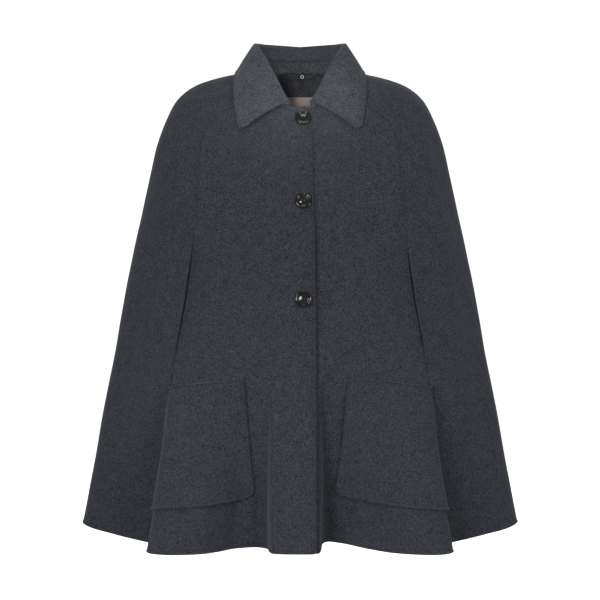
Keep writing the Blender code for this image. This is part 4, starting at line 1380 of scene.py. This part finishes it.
def button_seat(z):
    """The point of the right front's outer face under a button, and the way that the button faces."""
    grid, outward = front_lookup(RIGHT)
    for column in range(SEARCH_FIRST, grid.shape[1] - SEARCH_LAST):
        row = row_at_height(grid, column, z)
        if on_grid(grid, outward, row, column)[0][0] <= BUTTON_X:
            break
    point, normal = on_grid(grid, outward, row_at_height(grid, column, z), column)
    normal = unit(np.array((0.0, normal[1], normal[2])))
    point[0] = BUTTON_X
    return point, normal


class BuildButtons(bpy.types.Operator):
    """Make the buttons with their four holes, thread and buttonholes"""

    bl_idname = "cape.buttons"
    bl_label = "Buttons"

    def execute(self, context):
        sides = context.scene.cape_sizes.button_sides
        shared = self.drilled(turned_mesh("button", smooth_profile(BUTTON_PROFILE, BUTTON_STEPS), sides))
        for number, z in enumerate(BUTTON_HEIGHTS, start=1):
            point, normal = button_seat(z)
            place = facing(point + normal * (CLOTH / 2 + BUTTON_SEAT), normal)
            button = new_object(f"button_{number}_resin", shared.copy())
            button.matrix_world = place
            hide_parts(f"button_{number}")
            finished_piece(button, "button_black")
            thread = self.thread(f"button_{number}_thread")
            thread.matrix_world = place
            finished_piece(thread, "thread")
            hole = self.buttonhole(f"buttonhole_{number}")
            hole.matrix_world = facing(point + normal * (CLOTH / 2), normal)
            finished_piece(hole, "thread")
        return {"FINISHED"}

    def drilled(self, mesh):
        """The button with its four holes cut through."""
        whole = new_object("button_whole", mesh)
        cutters = []
        radius = BUTTON_HOLE_RADIUS * MM
        for number in range(BUTTON_HOLES):
            turn = 2 * math.pi * (number + 0.5) / BUTTON_HOLES
            work = bmesh.new()
            bmesh.ops.create_cone(
                work,
                cap_ends=True,
                segments=DRILL_SIDES,
                radius1=radius,
                radius2=radius,
                depth=DRILL_DEPTH * MM,
            )
            hole_mesh = bpy.data.meshes.new(f"drill_{number}")
            work.to_mesh(hole_mesh)
            work.free()
            drill = new_object(hole_mesh.name, hole_mesh)
            drill.location = Vector((math.cos(turn), math.sin(turn), 0)) * BUTTON_HOLE_OFFSET * MM
            cut = whole.modifiers.new(drill.name, "BOOLEAN")
            cut.operation = "DIFFERENCE"
            cut.object = drill
            cutters.append(drill)
        bpy.context.view_layer.update()
        graph = bpy.context.evaluated_depsgraph_get()
        made = bpy.data.meshes.new_from_object(whole.evaluated_get(graph))
        for helper in (whole, *cutters):
            bpy.data.objects.remove(helper)
        made.shade_smooth()
        made.set_sharp_from_angle(angle=math.radians(42))
        return made

    def thread(self, name):
        """Two bars of thread between the holes, each three strands wide."""
        work = bmesh.new()
        height = BUTTON_PROFILE[0].height
        offset = BUTTON_HOLE_OFFSET * math.cos(math.pi / 4)
        for bar in (-1, 1):
            for strand in (-1, 0, 1):
                x = bar * offset + strand * THREAD_RADIUS * 1.5
                path = []
                for share in np.linspace(-1, 1, 15):
                    rise = height + 0.55 - 1.9 * abs(share) ** 6
                    path.append((x, share * (offset + 0.35), rise))
                add_tube(work, path, THREAD_RADIUS, 8)
        return finished_object(name, work)

    def buttonhole(self, name):
        """A worked buttonhole: a raised lip of thread round a narrow oval."""
        work = bmesh.new()
        wide = BUTTONHOLE_WIDTH / 2
        middle = (BUTTONHOLE_START + BUTTONHOLE_END) / 2
        straight = (BUTTONHOLE_END - BUTTONHOLE_START) / 2 - wide
        path = []
        for turn in np.linspace(0, 2 * math.pi, 61)[:-1]:
            x = middle + straight * np.clip(math.cos(turn) * 1.6, -1, 1) + wide * math.cos(turn)
            path.append((x, wide * math.sin(turn), 0.1))
        add_ring(work, path, BUTTONHOLE_LIP, 8)
        return finished_object(name, work)


def add_tube(work, path, radius, sides, up=(1.0, 0.0, 0.0)):
    """A tube with closed ends along a path given in millimetres; `up` is a way that it doesn't run."""
    path = np.array(path, float)
    along = np.gradient(path, axis=0)
    rings = []
    for point, way in zip(path, along):
        way = unit(way)
        side = unit(np.cross(way, up))
        other = np.cross(way, side)
        ring = [point + radius * (math.cos(t) * side + math.sin(t) * other) for t in even_turns(sides)]
        rings.append([work.verts.new(Vector(p) * MM) for p in ring])
    join_rings(work, rings)
    work.faces.new(rings[0])
    work.faces.new(rings[-1][::-1])


def add_ring(work, path, radius, sides):
    """A closed ring of a tube along a path in the XY plane, in millimetres."""
    path = np.array(path, float)
    along = np.roll(path, -1, axis=0) - np.roll(path, 1, axis=0)
    low = np.array((0, 0, 0.6))
    rings = []
    for point, way in zip(path, along):
        way = unit(way)
        side = unit(np.cross(way, (0.0, 0.0, 1.0)))
        ring = [point + radius * (math.cos(t) * side + math.sin(t) * low) for t in even_turns(sides)]
        rings.append([work.verts.new(Vector(p) * MM) for p in ring])
    join_rings(work, rings, closed=True)


def back_inside(x, z):
    """A point of the back's middle at a place across and a height, and the way out of the body."""
    low, high = 0.0, float(HEM)
    for _ in range(40):
        level = (low + high) / 2
        cut = section(level)
        point = ring_points(level, angle_at(cut, abs(x), behind=True))
        if point[2] > z:
            low = level
        else:
            high = level
    outward = ring_normal(level, angle_at(cut, abs(x), behind=True))
    sign = np.array((math.copysign(1, x), 1, 1))
    return point * sign, outward * sign


class BuildNeckPieces(bpy.types.Operator):
    """Make the bare label, the hanger loop and the small fitting inside the back neck"""

    bl_idname = "cape.neck_pieces"
    bl_label = "Neck pieces"

    def execute(self, context):
        self.label()
        self.loop()
        self.stud()
        return {"FINISHED"}

    def label(self):
        grid, outward = [], []
        for z in np.linspace(LABEL_TOP, LABEL_BOTTOM, LABEL_ROWS):
            across = np.linspace(-LABEL_WIDTH / 2, LABEL_WIDTH / 2, LABEL_COLUMNS)
            places = [back_inside(x, z) for x in across]
            grid.append([place[0] for place in places])
            outward.append([place[1] for place in places])
        grid, outward = np.array(grid), np.array(outward)
        inset = CLOTH / 2 + LABEL_GAP + LABEL_THICKNESS / 2
        grid = grid - outward * inset
        sewn_panel("label", grid, outward, "satin", finished=(), thickness=LABEL_THICKNESS)

    def loop(self):
        """A rolled loop: an oval cord of cloth along the hanger's sagging line."""
        work = bmesh.new()
        half = LOOP_LENGTH / 2
        path = []
        for x in np.linspace(-half, half, 41):
            sag = LOOP_SAG * (1 - (x / half) ** 2)
            angle = math.pi - math.asin(abs(x) / section(0).half_width)
            neck = ring_points(0, angle) * np.array((math.copysign(1, x), 1, 1))
            facing_in = unit(neck * np.array((1, 1, 0)) - np.array((0, section(0).side_y, 0)))
            point = neck - facing_in * (CLOTH / 2 + SEAM_GAP + LOOP_THICKNESS / 2 + LOOP_LEAN * sag)
            path.append((point, facing_in, LOOP_Z - sag))
        rings, sides = [], 16
        for point, facing_in, z in path:
            ring = []
            for turn in even_turns(sides):
                place = point + facing_in * (LOOP_THICKNESS / 2 * math.cos(turn))
                place[2] = z + LOOP_WIDTH / 2 * math.sin(turn)
                ring.append(work.verts.new(Vector(place) * MM))
            rings.append(ring)
        join_rings(work, rings)
        work.faces.new(rings[0])
        work.faces.new(rings[-1][::-1])
        piece = finished_object("hanger_loop_cloth", work)
        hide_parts("hanger_loop")
        finished_piece(piece, "wool")

    def stud(self):
        loop_face = CLOTH / 2 + SEAM_GAP + LOOP_THICKNESS + LOOP_LEAN * LOOP_SAG
        y = ring_points(0, math.pi)[1] - loop_face - 2 * SEAM_GAP - STUD_THICKNESS / 2
        place = facing((STUD_X, y, STUD_Z - LOOP_SAG), (0, -1, 0))
        half, radius = STUD_THICKNESS / 2, STUD_RADIUS
        profile = (
            (0, half - 0.5),
            (radius * 0.35, half - 0.5),
            (radius * 0.45, half - 0.2),
            (radius * 0.6, half),
            (radius * 0.8, half - 0.1),
            (radius * 0.95, half - 0.5),
            (radius, 0),
            (radius * 0.95, -half),
            (0, -half),
        )
        cap = new_object("neck_stud_cap", turned_mesh("neck_stud_cap", profile, 40))
        cap.matrix_world = place
        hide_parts("neck_stud")
        finished_piece(cap, "fitting")
        # Painted highlight: a pale ring of resin on the cap's top stands for the ring of light that the
        # glossy rim reflects
        work = bmesh.new()
        turns = np.linspace(0, 2 * math.pi, 49)[:-1]
        path = [(radius * 0.55 * math.cos(t), radius * 0.55 * math.sin(t), half) for t in turns]
        add_ring(work, path, 0.55, 10)
        ring = finished_object("neck_stud_ring", work)
        ring.matrix_world = place
        finished_piece(ring, "pale_ring")


class BuildStage(bpy.types.Operator):
    """Make the studio floor, the soft lights and the camera"""

    bl_idname = "cape.stage"
    bl_label = "Stage"

    def execute(self, context):
        self.floor()
        sizes = context.scene.cape_sizes
        middle = (0.0, 0.0, -0.35)
        neck, lower = (0.0, 0.05, -0.03), (0.0, -0.1, -0.62)
        self.light("key", (-0.95, -2.25, 0.2), middle, 0.6, sizes.key_power, tall=1.0)
        self.light("fill", (1.4, -2.0, -0.1), middle, 0.5, sizes.key_power * 0.62, tall=0.8)
        self.light("top_softbox", (0.0, -0.4, 2.2), middle, 1.2, sizes.fill_power)
        self.light("back_softbox", (0.6, 2.7, 1.0), middle, 1.5, sizes.fill_power * 3.0)
        self.light("neck_lamp", (-0.12, -2.3, -0.36), neck, 0.14, sizes.spot_power * 0.55, 7)
        self.light("lower_lamp", (-1.3, -2.0, -0.2), lower, 0.25, sizes.spot_power * 1.1, 17)
        world = context.scene.world or bpy.data.worlds.new("studio")
        context.scene.world = world
        world.use_nodes = True
        sky = world.node_tree.nodes["Background"]
        sky.inputs["Color"].default_value = (1.0, 1.0, 1.0, 1.0)
        sky.inputs["Strength"].default_value = WORLD_STRENGTH
        camera_data = bpy.data.cameras.new("camera")
        camera_data.sensor_width = SENSOR
        camera_data.lens = SENSOR * CAMERA_DISTANCE / FRAME_WIDTH
        camera = new_object("camera", camera_data)
        camera.location = (0.0, -CAMERA_DISTANCE, CAMERA_HEIGHT)
        camera.rotation_euler = (math.pi / 2, 0, 0)
        context.scene.camera = camera
        context.scene.view_settings.view_transform = "Standard"
        return {"FINISHED"}

    def floor(self):
        """A pale floor that curves up into a ring-shaped wall, round the whole stage."""
        work = bmesh.new()
        inner = FLOOR_RADIUS - FLOOR_COVE
        profile = [(reach, 0.0) for reach in (1.0, 2.5, 4.0)]
        for turn in np.linspace(0, math.pi / 2, 14):
            profile.append((inner + FLOOR_COVE * math.sin(turn), FLOOR_COVE - FLOOR_COVE * math.cos(turn)))
        profile.append((FLOOR_RADIUS, WALL_HEIGHT))
        middle = work.verts.new((0, 0, FLOOR_Z))
        rings, turns = [], even_turns(FLOOR_SIDES)
        for reach, rise in profile:
            corners = [(reach * math.cos(t), reach * math.sin(t), FLOOR_Z + rise) for t in turns]
            rings.append([work.verts.new(corner) for corner in corners])
        for k in range(FLOOR_SIDES):
            work.faces.new((middle, rings[0][k], rings[0][(k + 1) % FLOOR_SIDES]))
        join_rings(work, rings)
        floor = finished_object("studio_floor", work)
        floor.data.flip_normals()
        floor.data.materials.append(finish("studio_floor"))
        floor.visible_shadow = False
        floor.visible_diffuse = False
        floor.visible_glossy = False

    def light(self, name, place, target, size, power, spread=180, tall=None):
        data = bpy.data.lights.new(name, "AREA")
        data.shape = "RECTANGLE" if tall else "DISK"
        data.size = size
        data.size_y = tall or size
        data.energy = power
        data.spread = math.radians(spread)
        lamp = new_object(name, data)
        lamp.location = place
        way = Vector(target) - Vector(place)
        lamp.rotation_euler = way.to_track_quat("-Z", "Y").to_euler()


OPERATORS = (
    BuildFronts,
    BuildWings,
    BuildBack,
    BuildCollar,
    BuildPockets,
    BuildButtons,
    BuildNeckPieces,
    BuildStage,
)


class CapePanel(bpy.types.Panel):
    """The cape's pieces, sizes and colours"""

    bl_idname = "VIEW3D_PT_cape"
    bl_label = "Wool Cape"
    bl_space_type = "VIEW_3D"
    bl_region_type = "UI"
    bl_category = "Cape"

    def draw(self, context):
        for group in (context.scene.cape_sizes, context.scene.cape_colours):
            for key in group.__annotations__:
                self.layout.prop(group, key)
        for operator in OPERATORS:
            self.layout.operator(operator.bl_idname)


CLASSES = (CapeColours, CapeSizes, *OPERATORS, CapePanel)


def register():
    for cls in CLASSES:
        bpy.utils.register_class(cls)
    bpy.types.Scene.cape_colours = PointerProperty(type=CapeColours)
    bpy.types.Scene.cape_sizes = PointerProperty(type=CapeSizes)


def unregister():
    del bpy.types.Scene.cape_sizes
    del bpy.types.Scene.cape_colours
    for cls in reversed(CLASSES):
        bpy.utils.unregister_class(cls)


def main():
    """Builds every piece and the stage."""
    register()
    bpy.ops.cape.fronts()
    bpy.ops.cape.wings()
    bpy.ops.cape.back()
    bpy.ops.cape.collar()
    bpy.ops.cape.pockets()
    bpy.ops.cape.buttons()
    bpy.ops.cape.neck_pieces()
    bpy.ops.cape.stage()
    bpy.context.view_layer.update()


if __name__ == "__main__":
    main()
